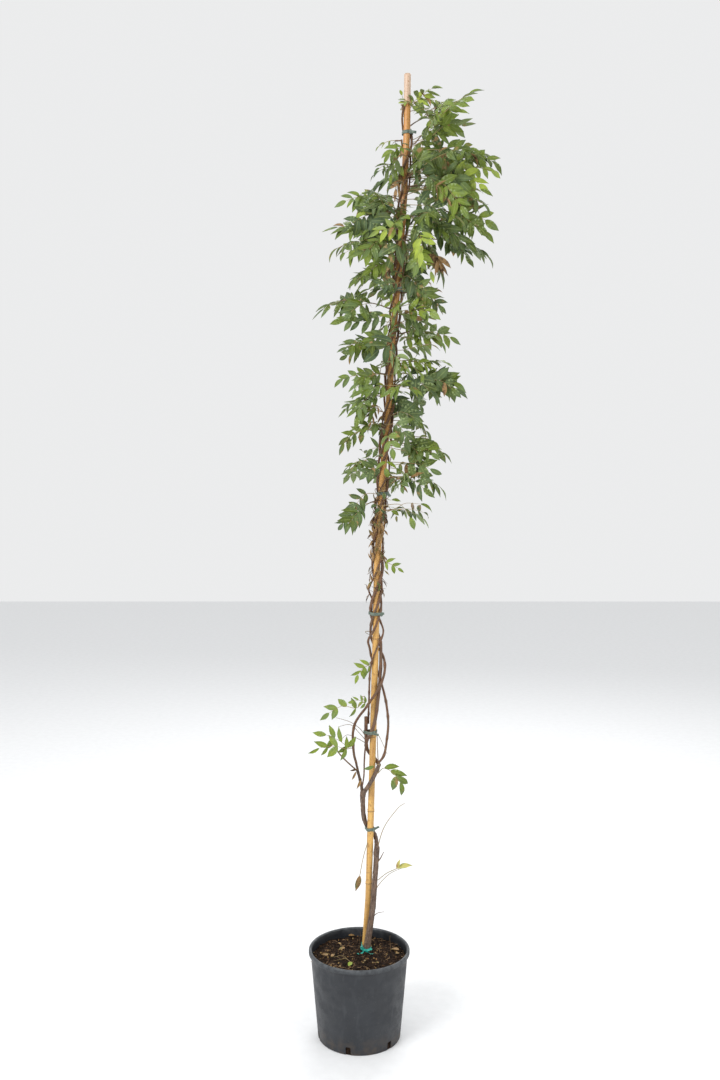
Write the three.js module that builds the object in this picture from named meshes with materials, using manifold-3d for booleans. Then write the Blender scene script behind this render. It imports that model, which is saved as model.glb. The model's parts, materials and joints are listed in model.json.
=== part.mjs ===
// A young wisteria twined up a bamboo cane in a round nursery pot.
// Millimetres. The origin is the middle of the pot's underside. +Z is up, +X is to the viewer's
// right and +Y is away from the viewer.
import * as THREE from "three";
import { mergeVertices } from "three/addons/utils/BufferGeometryUtils.js";
import Module from "manifold-3d";

const wasm = await Module();
wasm.setup();

// Driving dimensions.
const GAP = 0.3; // between pieces that touch
const POT = {
  height: 228, // to the top of the lip
  footRadius: 106,
  wallRadiusTop: 124.6, // outside, under the lip
  lipRadius: 129.4,
  lipDrop: 11, // how far the lip's skirt comes down
  wall: 2.4,
  floor: 5.6,
  groove: [64, 92], // inner and outer radius of the groove under the foot
  grooveDepth: 3,
  segments: 40,
};
const SLOT = { count: 6, width: 13, height: 21, depth: 13, firstTurn: 15 };
const SOIL = { rimLevel: 204, middleLevel: 208, cut: 0.5 };
const CANE = { radius: 8.3, ringRadius: 9.2, ringHalf: 3, bore: 4.4, boreDepth: 18, sides: 12 };
const CLEAR = 1.5; // from the cane's skin to the skin of a stem that twines round it
const TWINE = { pitch: 210, from: 1000, stepsPerTurn: 10 };
const LEAF = {
  petiole: 0.2, // share of the leaf's length before its first pair of leaflets
  halfWidth: 0.25, // of the length, at the widest pair
  thick: 1.3, // of the midrib above the middle of the blade
  edge: 0.5, // of the leaflets' tips below it
  notch: 5, // half the width between two pairs
  sweep: 0.3, // how far their tips point forward, for each millimetre of width
  lean: 0.5, // how far the blade turns to the light
};
const TWIG = {
  radii: [2.1, 2, 1.8, 1.7], // from its seat on the stem to its tip
  elbow: 5, // how far it leaves the stem before it turns to its heading
  riseMore: 12, // degrees that it starts steeper than its first leaf
  riseLess: 6, // degrees that it ends flatter
};
const STALK_RADIUS = 1.3; // of the two single leaves
const TIE = { height: 8, thickness: 1.6, clearance: 0.4, samples: 14 };
const RIBBON_BAND = { z: 214, height: 7 };

// The cane's axis: height, x, y. It is bent a little at each ring.
const CANE_AXIS = [
  [20, 3, 51],
  [205, 15, 50],
  [345, 24, 47],
  [525, 29, 44],
  [705, 34, 41],
  [865, 38, 38],
  [1020, 42, 35],
  [1200, 45, 32],
  [1365, 54, 29],
  [1500, 64, 26],
  [1625, 75, 24],
  [1760, 82, 22],
  [1930, 97, 19],
  [2115, 110, 15],
  [2280, 117, 12],
  [2415, 118, 10],
];
const CANE_RINGS = [380, 572, 768, 1022, 1312, 1604, 1890, 2128, 2346];

// Routes of the stems beside the cane's axis: height, dx, dy, radius.
const TRUNK = [
  [150, 3, -22, 8],
  [204, 4, -21, 9.2],
  [240, 6, -20, 8.4],
  [285, 10, -17, 7.8],
  [335, 13, -14, 7.4],
  [388, 15, -11, 7.1],
  [435, 17, -7, 7.2],
  [466, 17, 0, 7],
  [488, 13, 11, 6.6],
  [505, 5, 18, 6.4],
  [518, -6, 18, 6.2],
  [534, -15, 11, 6.1],
  [560, -19, 6, 6],
  [600, -22, 3, 6.2],
  [622, -22, -1, 6.2],
];
const KNUCKLE = [
  [455, 18, -6, 6],
  [474, 20, -13, 5.2],
  [482, 21, -16, 4.6],
];
const RIGHT_LIMB = [
  [612, -22, -1, 5.4],
  [626, -18, -10, 5.6],
  [642, -9, -16, 5.4],
  [662, 2, -17, 5.2],
  [684, 12, -14, 5],
  [700, 18, -8, 4.8],
];
const LEFT_LIMB = [
  [606, -22, 2, 4.6],
  [636, -26, 1, 4],
  [666, -34, 0, 3.6],
  [700, -42, -1, 3.3],
];
const LEADERS = {
  left_leader: {
    radius: [3.3, 2.3],
    turn: 95, // at the height where the regular twining begins
    top: 2344,
    route: [
      [703.5, -43, -1],
      [722, -48, -2],
      [752, -51, -3],
      [777, -52, -4],
      [804, -47, -7],
      [826, -35, -11],
      [844, -22, -15],
      [862, -11, -18],
      [885, 4, -18],
      [908, 16, -15],
      [933, 24, -9],
      [957, 25, 0],
      [976, 20, 12],
      [990, 11, 19],
    ],
    bulges: [[1010, 5, 25]],
  },
  right_leader: {
    radius: [3.1, 2.2],
    turn: 170,
    top: 2260,
    route: [
      [704.5, 19, -7],
      [722, 30, -4],
      [764, 36, -2],
      [804, 38, 0],
      [852, 32, 4],
      [888, 23, 9],
      [912, 15, 13],
      [935, 7, 16],
      [958, -4, 15],
      [978, -11, 11],
    ],
    bulges: [
      [1022, 8, 22],
      [1560, 3, 30],
    ],
  },
  middle_leader: {
    radius: [4.4, 2.8],
    turn: 10,
    top: 2344,
    route: [
      [694, 16, 3],
      [708, 5, 16],
      [722, -9, 14],
      [744, -17, 2],
      [764, -14, -10],
      [782, -5, -15.5],
      [806, 2, -15.8],
      [829, 6, -14.8],
      [868, 10, -12],
      [908, 13, -6.5],
      [955, 14.6, -1.5],
    ],
    bulges: [],
  },
  thin_leader: {
    radius: [2.4, 1.9],
    turn: 288,
    top: 2050,
    route: [
      [806, -12.8, 5.6],
      [830, -13, 5.6],
      [860, -13, 5],
      [895, -13, 3],
      [930, -12.6, -1],
      [960, -9.5, -8.8],
      [980, -4, -12.4],
    ],
    bulges: [
      [1040, 7, 24],
      [1150, 8, 22],
      [1440, 4, 30],
    ],
  },
};
const CUT_STUB = [
  [752, -17.5, -2, 3.8],
  [776, -18.5, -1, 4.4],
  [820, -19, 0, 4.9],
];
const CUT_FOOT = [
  [640, -24.5, -9.5, 1.9],
  [668, -21, -12, 2],
  [700, -21, -8, 2],
  [728, -20, -4, 2.1],
  [750, -18, -3, 2.2],
];

// The ties: height and the stems that each one holds to the cane.
const TIES = [
  [524, ["trunk"]],
  [781, ["middle_leader", "cut_stub"]],
  [1087, ["left_leader", "right_leader", "middle_leader", "thin_leader"]],
  [1392, ["left_leader", "right_leader", "middle_leader", "thin_leader"]],
  [1896, ["left_leader", "right_leader", "middle_leader", "thin_leader"]],
  [2276, ["left_leader", "middle_leader"]],
];

// The leafy shoots of the crown: height, heading in degrees from +X towards +Y, the twig's
// length, number of leaves, their length and how steeply the first one rises.
const SHOOTS = [
  [2326, -8, 26, 2, 112, 40],
  [2296, 24, 46, 2, 128, 30],
  [2258, 160, 10, 1, 56, 4],
  [2248, -30, 66, 3, 142, 34],
  [2222, 50, 54, 2, 140, 20],
  [2206, 4, 94, 3, 144, 9],
  [2188, 205, 16, 2, 84, 0],
  [2170, 96, 40, 3, 150, 16],
  [2162, -48, 56, 3, 146, 16],
  [2144, 42, 84, 3, 140, 5],
  [2120, 170, 34, 3, 132, 14],
  [2076, -14, 92, 3, 142, 2],
  [2074, 230, 38, 2, 140, 8],
  [2052, 68, 60, 2, 150, 2],
  [2056, -78, 44, 3, 148, 6],
  [2040, 150, 40, 2, 144, 8],
  [2020, 8, 90, 3, 150, -1],
  [2006, 196, 46, 3, 138, 4],
  [1966, 102, 40, 3, 146, 4],
  [1940, 184, 18, 2, 104, 2],
  [1890, 10, 18, 2, 118, 6],
  [1852, 182, 52, 3, 150, 12],
  [1836, 300, 20, 2, 116, 8],
  [1818, 84, 30, 2, 136, 6],
  [1790, 4, 30, 3, 128, 8],
  [1758, 206, 26, 3, 118, 6],
  [1712, -26, 28, 2, 116, 4],
  [1690, 164, 24, 3, 108, 2],
  [1662, 18, 56, 3, 146, 8],
  [1634, 222, 24, 2, 116, 0],
  [1590, 60, 28, 2, 124, 2],
  [1552, 176, 22, 2, 108, -2],
  [1512, 2, 38, 3, 128, 6],
  [1474, 196, 18, 2, 88, 2],
  [1452, 112, 20, 2, 118, 0],
  [1430, -14, 38, 2, 132, 4],
  [1372, 208, 18, 2, 118, -22],
  [1350, 10, 26, 2, 108, 2],
];
const HABITS = {
  // For one, two or three leaves: where each sits along the twig, its turn off the twig's heading
  // and how much less it rises than the first.
  1: [[1, 6, 0]],
  2: [
    [1, 22, 0],
    [0.6, -34, 6],
  ],
  3: [
    [1, 4, 0],
    [0.72, -44, 8],
    [0.46, 48, 12],
  ],
};
const LEAF_BEND = 62; // degrees that a leaf turns down between its base and its tip

// The single shoots below the crown, with the stem that each one grows on.
const LOW_SHOOTS = {
  lower_left_shoot: ["left_leader", [713, 186, 20, 2, 100, 46]],
  stub_shoot: ["cut_stub", [806, 188, 34, 2, 112, 26]],
  small_left_shoot: ["thin_leader", [944, 192, 8, 1, 84, -12]],
  lower_right_shoot: ["right_limb", [684, -24, 12, 1, 88, -8]],
  upper_right_leaf: ["thin_leader", [1236, -12, 8, 1, 62, 4]],
};

// The two single leaves on long stalks: height, dx, dy from the cane's axis along each stalk.
const YELLOW_LEAF = {
  stalk: [
    [392, 22.7, -13],
    [414, 44, -22],
    [430, 72, -28],
  ],
  length: 44,
  halfWidth: 9,
};
const DRIED_LEAF = {
  stalk: [
    [490, -6.3, -7.4],
    [455, -16, -12],
    [403, -24.5, -14],
  ],
  length: 40,
  halfWidth: 7,
};

const degrees = THREE.MathUtils.degToRad;
const vector = (x, y, z) => new THREE.Vector3(x, y, z);
const LIGHT = vector(0, -1, 0); // the side that the plant grew towards

// The value at a height in rows that start with a height, along straight lines between them.
function between(rows, z) {
  const last = rows.length - 1;
  let i = rows.findIndex((row) => row[0] > z) - 1;
  if (i < -1) i = last - 1;
  i = Math.max(i, 0);
  const share = (z - rows[i][0]) / (rows[i + 1][0] - rows[i][0]);
  return rows[i].map((value, k) => value + share * (rows[i + 1][k] - value));
}

// A point beside the cane's axis.
function beside(z, dx = 0, dy = 0) {
  const [, x, y] = between(CANE_AXIS, z);
  return vector(x + dx, y + dy, z);
}

// A leader's rows: its free route, then its regular turns round the cane.
function leaderRows({ radius, turn, top, route, bulges }) {
  const foot = route[0][0];
  const radiusAt = (z) => radius[0] + ((z - foot) / (top - foot)) * (radius[1] - radius[0]);
  const rows = route.map(([z, dx, dy]) => [z, dx, dy, radiusAt(z)]);
  const step = TWINE.pitch / TWINE.stepsPerTurn;
  for (let z = TWINE.from; z <= top; z += step) {
    const swell = bulges.map(([at, by, reach]) => by * Math.exp(-(((z - at) / reach) ** 2)));
    const out = CANE.radius + CLEAR + radiusAt(z) + swell.reduce((a, b) => a + b, 0);
    const angle = degrees(turn + ((z - TWINE.from) / TWINE.pitch) * 360);
    rows.push([z, out * Math.cos(angle), out * Math.sin(angle), radiusAt(z)]);
  }
  return rows;
}

// One closed skin over a row of rings with the same number of points.
function skin(rings) {
  const count = rings[0].length;
  const index = [];
  for (let i = 0; i + 1 < rings.length; i++) {
    for (let j = 0; j < count; j++) {
      const a = i * count + j;
      const b = i * count + ((j + 1) % count);
      index.push(a, b, b + count, a, b + count, a + count);
    }
  }
  const end = (rings.length - 1) * count;
  for (let j = 1; j + 1 < count; j++) {
    index.push(0, j + 1, j, end, end + j, end + j + 1);
  }
  const geometry = new THREE.BufferGeometry().setFromPoints(rings.flat());
  geometry.setIndex(index);
  return geometry;
}

// A round stem through rows of centre and radius. aside is a direction it never runs along.
function stem(centres, radii, sides, aside) {
  const rings = centres.map((centre, i) => {
    const before = centres[Math.max(i - 1, 0)];
    const after = centres[Math.min(i + 1, centres.length - 1)];
    const along = after.clone().sub(before).normalize();
    const first = aside.clone().addScaledVector(along, -aside.dot(along)).normalize();
    const second = along.clone().cross(first);
    return Array.from({ length: sides }, (_, k) => {
      const angle = (2 * Math.PI * k) / sides;
      return centre
        .clone()
        .addScaledVector(first, radii[i] * Math.cos(angle))
        .addScaledVector(second, radii[i] * Math.sin(angle));
    });
  });
  return skin(rings);
}

// A stem through rows of height, dx, dy and radius beside the cane.
function stemOfRows(rows, sides) {
  const centres = rows.map(([z, dx, dy]) => beside(z, dx, dy));
  const radii = rows.map((row) => row[3]);
  return stem(centres, radii, sides, vector(1, 0.35, 0));
}

function solid(geometry) {
  const bare = geometry.clone();
  bare.deleteAttribute("normal");
  bare.deleteAttribute("uv");
  const merged = mergeVertices(bare, 1e-3);
  const vertProperties = merged.attributes.position.array;
  const triVerts = new Uint32Array(merged.index.array);
  return new wasm.Manifold(new wasm.Mesh({ numProp: 3, vertProperties, triVerts }));
}

function geometryOf(made) {
  const { vertProperties, triVerts } = made.getMesh();
  const geometry = new THREE.BufferGeometry();
  geometry.setAttribute("position", new THREE.BufferAttribute(vertProperties, 3));
  geometry.setIndex(new THREE.BufferAttribute(triVerts, 1));
  geometry.computeVertexNormals();
  return geometry;
}

const join = (geometries) => geometryOf(geometries.map(solid).reduce((a, b) => a.add(b)));
const cut = (geometry, tools) =>
  geometryOf(tools.map(solid).reduce((a, b) => a.subtract(b), solid(geometry)));

// A bend in one upright plane: the place and direction at a distance along it. It starts at a
// point, heads one way, and its rise above the level changes evenly from first to last.
function bend(start, heading, first, last, length, along) {
  const change = (last - first) / length;
  const rise = first + change * along;
  const out = (Math.sin(rise) - Math.sin(first)) / change;
  const up = -(Math.cos(rise) - Math.cos(first)) / change;
  const level = vector(Math.cos(heading), Math.sin(heading), 0);
  return {
    place: start.clone().addScaledVector(level, out).add(vector(0, 0, up)),
    ahead: level.clone().multiplyScalar(Math.cos(rise)).add(vector(0, 0, Math.sin(rise))),
    aside: vector(-Math.sin(heading), Math.cos(heading), 0),
  };
}

// One compound leaf: a thin blade along its midrib, notched between its pairs of leaflets.
function compoundLeaf(start, heading, first, length) {
  const wide = length * LEAF.halfWidth;
  const outline = [
    [-0.01, 1.2],
    [LEAF.petiole, 1.4],
    [0.36, wide],
    [0.44, LEAF.notch],
    [0.6, wide * 0.95],
    [0.68, LEAF.notch],
    [0.84, wide * 0.7],
    [1, 2],
  ];
  const rings = outline.map(([share, half]) => {
    const { place, ahead, aside } = bend(
      start,
      heading,
      first,
      first - degrees(LEAF_BEND),
      length,
      share * length,
    );
    const toLight = LIGHT.clone().addScaledVector(ahead, -LIGHT.dot(ahead));
    const above = ahead.clone().cross(aside).addScaledVector(toLight, LEAF.lean).normalize();
    const across = above.clone().cross(ahead);
    const tip = (side) =>
      place
        .clone()
        .addScaledVector(across, side * half)
        .addScaledVector(above, -LEAF.edge)
        .addScaledVector(ahead, share < 1 ? half * LEAF.sweep : 0);
    return [tip(1), place.clone().addScaledVector(above, LEAF.thick), tip(-1)];
  });
  return skin(rings);
}

// A leafy shoot: a twig that leaves the stem square to it, then turns to its heading.
function shoot(rows, [z, turn, twig, count, leafLength, lift]) {
  const heading = degrees(turn);
  const [, dx, dy, radius] = between(rows, z);
  const outward = vector(dx, dy, 0).normalize();
  const seat = beside(z, dx, dy).addScaledVector(outward, radius + GAP);
  const elbow = seat.clone().addScaledVector(outward, TWIG.elbow);
  const first = degrees(lift + TWIG.riseMore);
  const last = degrees(lift - TWIG.riseLess);
  const twigAt = (share) => bend(elbow, heading, first, last, twig, share * twig).place;
  const centres = [seat, elbow, twigAt(0.5), twigAt(1)];
  const level = vector(Math.cos(heading), Math.sin(heading), 0).add(outward).normalize();
  const aside = vector(-level.y, level.x, 0);
  const leaves = HABITS[count].map(([share, off, less]) =>
    compoundLeaf(twigAt(share), heading + degrees(off), degrees(lift - less), leafLength),
  );
  return join([stem(centres, TWIG.radii, 4, aside), ...leaves]);
}

// A single leaf blade on a long thin stalk.
function stalkedLeaf({ stalk, length, halfWidth }) {
  const centres = stalk.map(([z, dx, dy]) => beside(z, dx, dy));
  const end = centres.at(-1);
  const ahead = end.clone().sub(centres.at(-2)).normalize();
  const aside = ahead.clone().cross(vector(0, 1, 0)).normalize();
  const above = ahead.clone().cross(aside);
  const blade = [
    [-2, 1],
    [0.3 * length, halfWidth],
    [0.65 * length, halfWidth * 0.8],
    [length, 0.8],
  ].map(([along, half]) => {
    const place = end.clone().addScaledVector(ahead, along);
    return [
      place.clone().addScaledVector(aside, half),
      place.clone().addScaledVector(above, 1),
      place.clone().addScaledVector(aside, -half),
      place.clone().addScaledVector(above, -1),
    ];
  });
  return join([stem(centres, centres.map(() => STALK_RADIUS), 5, aside), skin(blade)]);
}

// The pot is turned about its axis, then its drain slots are cut through the foot of the wall.
function pot() {
  const { height, footRadius, wallRadiusTop, lipRadius, lipDrop, wall, floor, groove, grooveDepth } = POT;
  const profile = [
    [0, 0],
    [groove[0], 0],
    [groove[0] + 2, grooveDepth],
    [groove[1] - 2, grooveDepth],
    [groove[1], 0],
    [footRadius - 2, 0],
    [footRadius, 2],
    [wallRadiusTop, height - lipDrop],
    [lipRadius - 0.6, height - lipDrop + 1],
    [lipRadius, height - 4],
    [lipRadius - 1.6, height - 0.8],
    [lipRadius - 3.8, height],
    [lipRadius - 6, height - 1.4],
    [wallRadiusTop - wall, height - lipDrop],
    [footRadius - wall, floor + 2],
    [footRadius - wall - 2, floor],
    [0, floor],
  ].map(([r, z]) => new THREE.Vector2(r, z));
  const turned = new THREE.LatheGeometry(profile, POT.segments).rotateX(Math.PI / 2);
  const slots = Array.from({ length: SLOT.count }, (_, k) => {
    const angle = degrees(SLOT.firstTurn + (k * 360) / SLOT.count);
    const slot = new THREE.BoxGeometry(2 * SLOT.depth, SLOT.width, 2 * SLOT.height);
    return slot.rotateZ(angle).translate(footRadius * Math.cos(angle), footRadius * Math.sin(angle), 0);
  });
  return cut(turned, slots);
}

// The potting mix fills the pot and has a hole for the cane and one for the trunk.
function soil() {
  const { footRadius, wallRadiusTop, height, lipDrop, wall, floor } = POT;
  const slope = (wallRadiusTop - footRadius) / (height - lipDrop - 2);
  const wallAt = (z) => footRadius - wall - GAP * 2 + slope * (z - 2);
  const bottom = floor + GAP;
  const profile = [
    [0, bottom],
    [footRadius - wall - SLOT.depth, bottom],
    [wallAt(SLOT.height + 4) - 2, SLOT.height + 4],
    [wallAt(SLOT.height + 6), SLOT.height + 6],
    [wallAt(SOIL.rimLevel), SOIL.rimLevel],
    [wallAt(SOIL.rimLevel) * 0.6, SOIL.rimLevel + 2.5],
    [0, SOIL.middleLevel],
  ].map(([r, z]) => new THREE.Vector2(r, z));
  const turned = new THREE.LatheGeometry(profile, POT.segments).rotateX(Math.PI / 2);
  const caneHole = [12, 205, 240].map((z) => beside(z));
  const trunkHole = TRUNK.slice(0, 3).map(([z, dx, dy, radius]) => [z, dx, dy, radius + SOIL.cut]);
  trunkHole[0][0] -= 4;
  return cut(turned, [
    stem(caneHole, caneHole.map(() => CANE.radius + SOIL.cut), CANE.sides, vector(1, 0.35, 0)),
    stemOfRows(trunkHole, 10),
  ]);
}

// The cane is a tapered culm with a raised ring at each node and a short open bore at its cut top.
function cane() {
  const heights = CANE_AXIS.map((row) => [row[0], CANE.radius]);
  for (const z of CANE_RINGS) {
    heights.push([z - CANE.ringHalf, CANE.radius], [z, CANE.ringRadius], [z + CANE.ringHalf, CANE.radius]);
  }
  heights.sort((a, b) => a[0] - b[0]);
  const centres = heights.map(([z]) => beside(z));
  const radii = heights.map((row) => row[1]);
  const culm = stem(centres, radii, CANE.sides, vector(1, 0.35, 0));
  const top = centres.at(-1);
  const bore = [top.clone().setZ(top.z - CANE.boreDepth), top.clone().setZ(top.z + 1)];
  return cut(culm, [stem(bore, [CANE.bore, CANE.bore], 8, vector(1, 0.35, 0))]);
}

// The outline that a cord pulled tight round some circles would take.
function tightOutline(circles, extra) {
  const points = circles.flatMap(([x, y, radius]) =>
    Array.from({ length: TIE.samples }, (_, k) => {
      const angle = (2 * Math.PI * k) / TIE.samples;
      return [x + (radius + extra) * Math.cos(angle), y + (radius + extra) * Math.sin(angle)];
    }),
  );
  points.sort((a, b) => a[0] - b[0] || a[1] - b[1]);
  const turnOf = (a, b, c) => (b[0] - a[0]) * (c[1] - a[1]) - (b[1] - a[1]) * (c[0] - a[0]);
  const half = (list) => {
    const kept = [];
    for (const point of list) {
      while (kept.length > 1 && turnOf(kept.at(-2), kept.at(-1), point) <= 0) kept.pop();
      kept.push(point);
    }
    return kept.slice(0, -1);
  };
  const outline = [...half(points), ...half([...points].reverse())];
  return outline.map(([x, y]) => new THREE.Vector2(x, y));
}

// A flat band round the cane and the stems it holds.
function band(z, circles, height) {
  const polygonSlack = 1 / Math.cos(Math.PI / TIE.samples);
  const around = circles.map(([x, y, radius]) => [x, y, (radius + TIE.clearance) * polygonSlack]);
  const outer = new THREE.Shape(tightOutline(around, TIE.thickness));
  outer.holes.push(new THREE.Path(tightOutline(around, 0)));
  const made = new THREE.ExtrudeGeometry(outer, { depth: height, bevelEnabled: false });
  return made.translate(0, 0, z - height / 2);
}

const rowsOf = { trunk: TRUNK, right_limb: RIGHT_LIMB, cut_stub: CUT_STUB };
for (const [name, leader] of Object.entries(LEADERS)) rowsOf[name] = leaderRows(leader);

// The circles of the cane and of some stems at the foot, middle and head of a band. The level
// section of a stem that leans is wider than the stem.
function circlesAt(z, names) {
  const half = TIE.height / 2;
  return [z - half, z, z + half].flatMap((height) => {
    const held = names.map((name) => {
      const [, dx, dy, radius] = between(rowsOf[name], height);
      const [, lowX, lowY] = between(rowsOf[name], z - half);
      const [, highX, highY] = between(rowsOf[name], z + half);
      const { x, y } = beside(height, dx, dy);
      return [x, y, radius * Math.hypot(1, Math.hypot(highX - lowX, highY - lowY) / TIE.height)];
    });
    const { x, y } = beside(height);
    return [[x, y, CANE.radius], ...held];
  });
}

// The leader whose outer side faces a heading at a height.
function facing(z, turn) {
  const away = ([, leader]) => {
    const [, dx, dy] = between(leader, z);
    const apart = Math.atan2(dy, dx) - degrees(turn);
    return Math.abs(THREE.MathUtils.euclideanModulo(apart + Math.PI, 2 * Math.PI) - Math.PI);
  };
  const present = Object.keys(LEADERS).map((name) => [name, rowsOf[name]]);
  const reaching = present.filter(([, rows]) => rows.at(-1)[0] > z);
  return reaching.reduce((best, next) => (away(next) < away(best) ? next : best))[0];
}

const finish = (color, roughness) => new THREE.MeshStandardMaterial({ color, roughness, metalness: 0 });
const POT_PLASTIC = finish(0x454a4e, 0.55);
const POTTING_MIX = finish(0x3a2a1e, 0.95);
const BAMBOO = finish(0xd2a458, 0.5);
const OLD_BARK = finish(0x6e5a50, 0.85);
const YOUNG_BARK = finish(0x7d5037, 0.75);
const TIE_PLASTIC = finish(0x5d7468, 0.6);
const RIBBON = finish(0x1fa894, 0.5);
const LEAF_GREEN = finish(0x4a6b34, 0.6);
const LEAF_YELLOW = finish(0xb9a746, 0.65);
const LEAF_DRY = finish(0x8a6a3a, 0.8);

const plant = new THREE.Group();
function add(name, geometry, material) {
  const mesh = new THREE.Mesh(geometry, material);
  mesh.name = name;
  plant.add(mesh);
}

add("pot", pot(), POT_PLASTIC);
add("soil", soil(), POTTING_MIX);
add("bamboo_cane", cane(), BAMBOO);
add("trunk", join([TRUNK, KNUCKLE, RIGHT_LIMB, LEFT_LIMB].map((rows) => stemOfRows(rows, 8))), OLD_BARK);
for (const name of Object.keys(LEADERS)) {
  const stems = [stemOfRows(rowsOf[name], 6)];
  if (name === "middle_leader") stems.push(stemOfRows(CUT_STUB, 6), stemOfRows(CUT_FOOT, 6));
  add(name, join(stems), YOUNG_BARK);
}
TIES.forEach(([z, names], k) => add(`tie_${k + 1}`, band(z, circlesAt(z, names), TIE.height), TIE_PLASTIC));
const { z: ribbonAt, height: ribbonHeight } = RIBBON_BAND;
add("base_ribbon", band(ribbonAt, circlesAt(ribbonAt, ["trunk"]), ribbonHeight), RIBBON);
SHOOTS.forEach((row, k) => {
  const name = `leafy_shoot_${String(k + 1).padStart(2, "0")}`;
  add(name, shoot(rowsOf[facing(row[0], row[1])], row), LEAF_GREEN);
});
for (const [name, [on, row]] of Object.entries(LOW_SHOOTS)) add(name, shoot(rowsOf[on], row), LEAF_GREEN);
add("yellow_leaf", stalkedLeaf(YELLOW_LEAF), LEAF_YELLOW);
add("dried_leaf", stalkedLeaf(DRIED_LEAF), LEAF_DRY);

export default plant;
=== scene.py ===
# %% [markdown]
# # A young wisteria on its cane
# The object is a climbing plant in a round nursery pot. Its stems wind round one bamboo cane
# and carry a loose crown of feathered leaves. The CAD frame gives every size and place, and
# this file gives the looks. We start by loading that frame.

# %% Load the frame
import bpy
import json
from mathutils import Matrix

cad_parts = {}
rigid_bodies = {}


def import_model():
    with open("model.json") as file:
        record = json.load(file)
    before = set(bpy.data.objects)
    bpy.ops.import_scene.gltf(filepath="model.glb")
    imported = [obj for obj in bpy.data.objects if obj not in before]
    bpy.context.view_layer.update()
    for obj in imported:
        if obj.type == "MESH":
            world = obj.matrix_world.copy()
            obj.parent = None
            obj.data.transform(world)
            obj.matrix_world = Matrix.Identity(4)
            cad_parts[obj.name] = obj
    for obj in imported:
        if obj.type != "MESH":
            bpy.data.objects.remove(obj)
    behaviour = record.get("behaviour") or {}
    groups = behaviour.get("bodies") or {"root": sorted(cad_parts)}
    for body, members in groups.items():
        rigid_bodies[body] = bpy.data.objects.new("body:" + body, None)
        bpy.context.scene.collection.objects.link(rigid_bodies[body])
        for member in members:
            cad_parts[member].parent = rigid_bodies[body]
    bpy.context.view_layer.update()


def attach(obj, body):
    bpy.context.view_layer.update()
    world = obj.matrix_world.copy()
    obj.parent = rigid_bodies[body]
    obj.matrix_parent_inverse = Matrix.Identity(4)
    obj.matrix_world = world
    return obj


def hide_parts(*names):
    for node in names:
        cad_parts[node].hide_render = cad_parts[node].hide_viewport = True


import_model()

import json
import math
import random

import bpy
from mathutils import Matrix, Vector, noise

# %% [markdown]
# ## Camera, light and floor
# The camera comes first, because every later choice is judged through it. It stands 2.67 m in
# front of the pot at about chest height and looks down by a little under four degrees. Soft
# light needs large lamps: the bigger the lamp, the softer the edge of its shadow. A pale world
# fills the shadows, one large lamp on the left gives the leaves their shape and a smaller one
# on the right keeps that side readable.

# %% Camera, light and floor
scene = bpy.context.scene
scene.view_settings.view_transform = "Standard"

camera_data = bpy.data.cameras.new("camera")
camera_data.sensor_width = 36
camera_data.lens = 35.63
camera_data.clip_end = 60
camera = bpy.data.objects.new("camera", camera_data)
camera.location = (0.002, -2.667, 1.454)
camera.rotation_euler = (math.radians(90 - 3.81), 0, 0)
scene.collection.objects.link(camera)
scene.camera = camera

world = bpy.data.worlds.new("studio")
world.use_nodes = True
world.node_tree.nodes["Background"].inputs["Color"].default_value = (0.95, 0.955, 0.96, 1)
world.node_tree.nodes["Background"].inputs["Strength"].default_value = 0.88
scene.world = world


def softbox(name, place, size, watts):
    """A square lamp that faces the middle of the plant."""
    lamp = bpy.data.lights.new(name, "AREA")
    lamp.shape, lamp.size, lamp.energy = "SQUARE", size, watts
    box = bpy.data.objects.new(name, lamp)
    box.location = place
    box.rotation_euler = (Vector((0, 0, 1.3)) - Vector(place)).to_track_quat("-Z", "Y").to_euler()
    scene.collection.objects.link(box)


softbox("key_light", (-2.6, -2.6, 3.2), 2.0, 130)
softbox("fill_light", (2.8, -2.2, 2.2), 2.0, 40)
softbox("back_light", (0.6, 2.8, 3.4), 2.4, 60)
print("camera lens", camera_data.lens, "mm at", tuple(camera.location))

# %% [markdown]
# ## Helpers for node trees
# Both materials and Geometry Nodes are graphs. Adding a node, setting its options and wiring
# its inputs is always the same three steps, so one helper does them. `run_tree` puts a
# Geometry Nodes tree on an object, fills its named inputs, and keeps the result as a plain
# mesh, because a finished piece should not depend on a live modifier.

# %% Helpers for node trees
def place(tree, kind, inputs=None, **settings):
    """Adds a node, sets its options, and wires or fills its inputs by name or number."""
    made = tree.nodes.new(kind)
    for key, value in settings.items():
        setattr(made, key, value)
    for key, value in (inputs or {}).items():
        if isinstance(value, bpy.types.NodeSocket):
            tree.links.new(value, made.inputs[key])
        else:
            made.inputs[key].default_value = value
    return made


def new_tree(name, kind, inputs, outputs):
    """An empty node group with named sockets, and its input and output nodes."""
    tree = bpy.data.node_groups.new(name, kind)
    for in_out, sockets in (("INPUT", inputs), ("OUTPUT", outputs)):
        for label, socket_type, default in sockets:
            socket = tree.interface.new_socket(label, in_out=in_out, socket_type="NodeSocket" + socket_type)
            if default is not None:
                socket.default_value = default
    return tree, tree.nodes.new("NodeGroupInput").outputs, tree.nodes.new("NodeGroupOutput").inputs


def run_tree(piece, tree, values):
    """Runs a Geometry Nodes tree on a piece and keeps the result as a plain mesh."""
    modifier = piece.modifiers.new("nodes", "NODES")
    modifier.node_group = tree
    for item in tree.interface.items_tree:
        if item.in_out == "INPUT" and item.name in values:
            modifier[item.identifier] = values[item.name]
    keep_result(piece)


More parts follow.
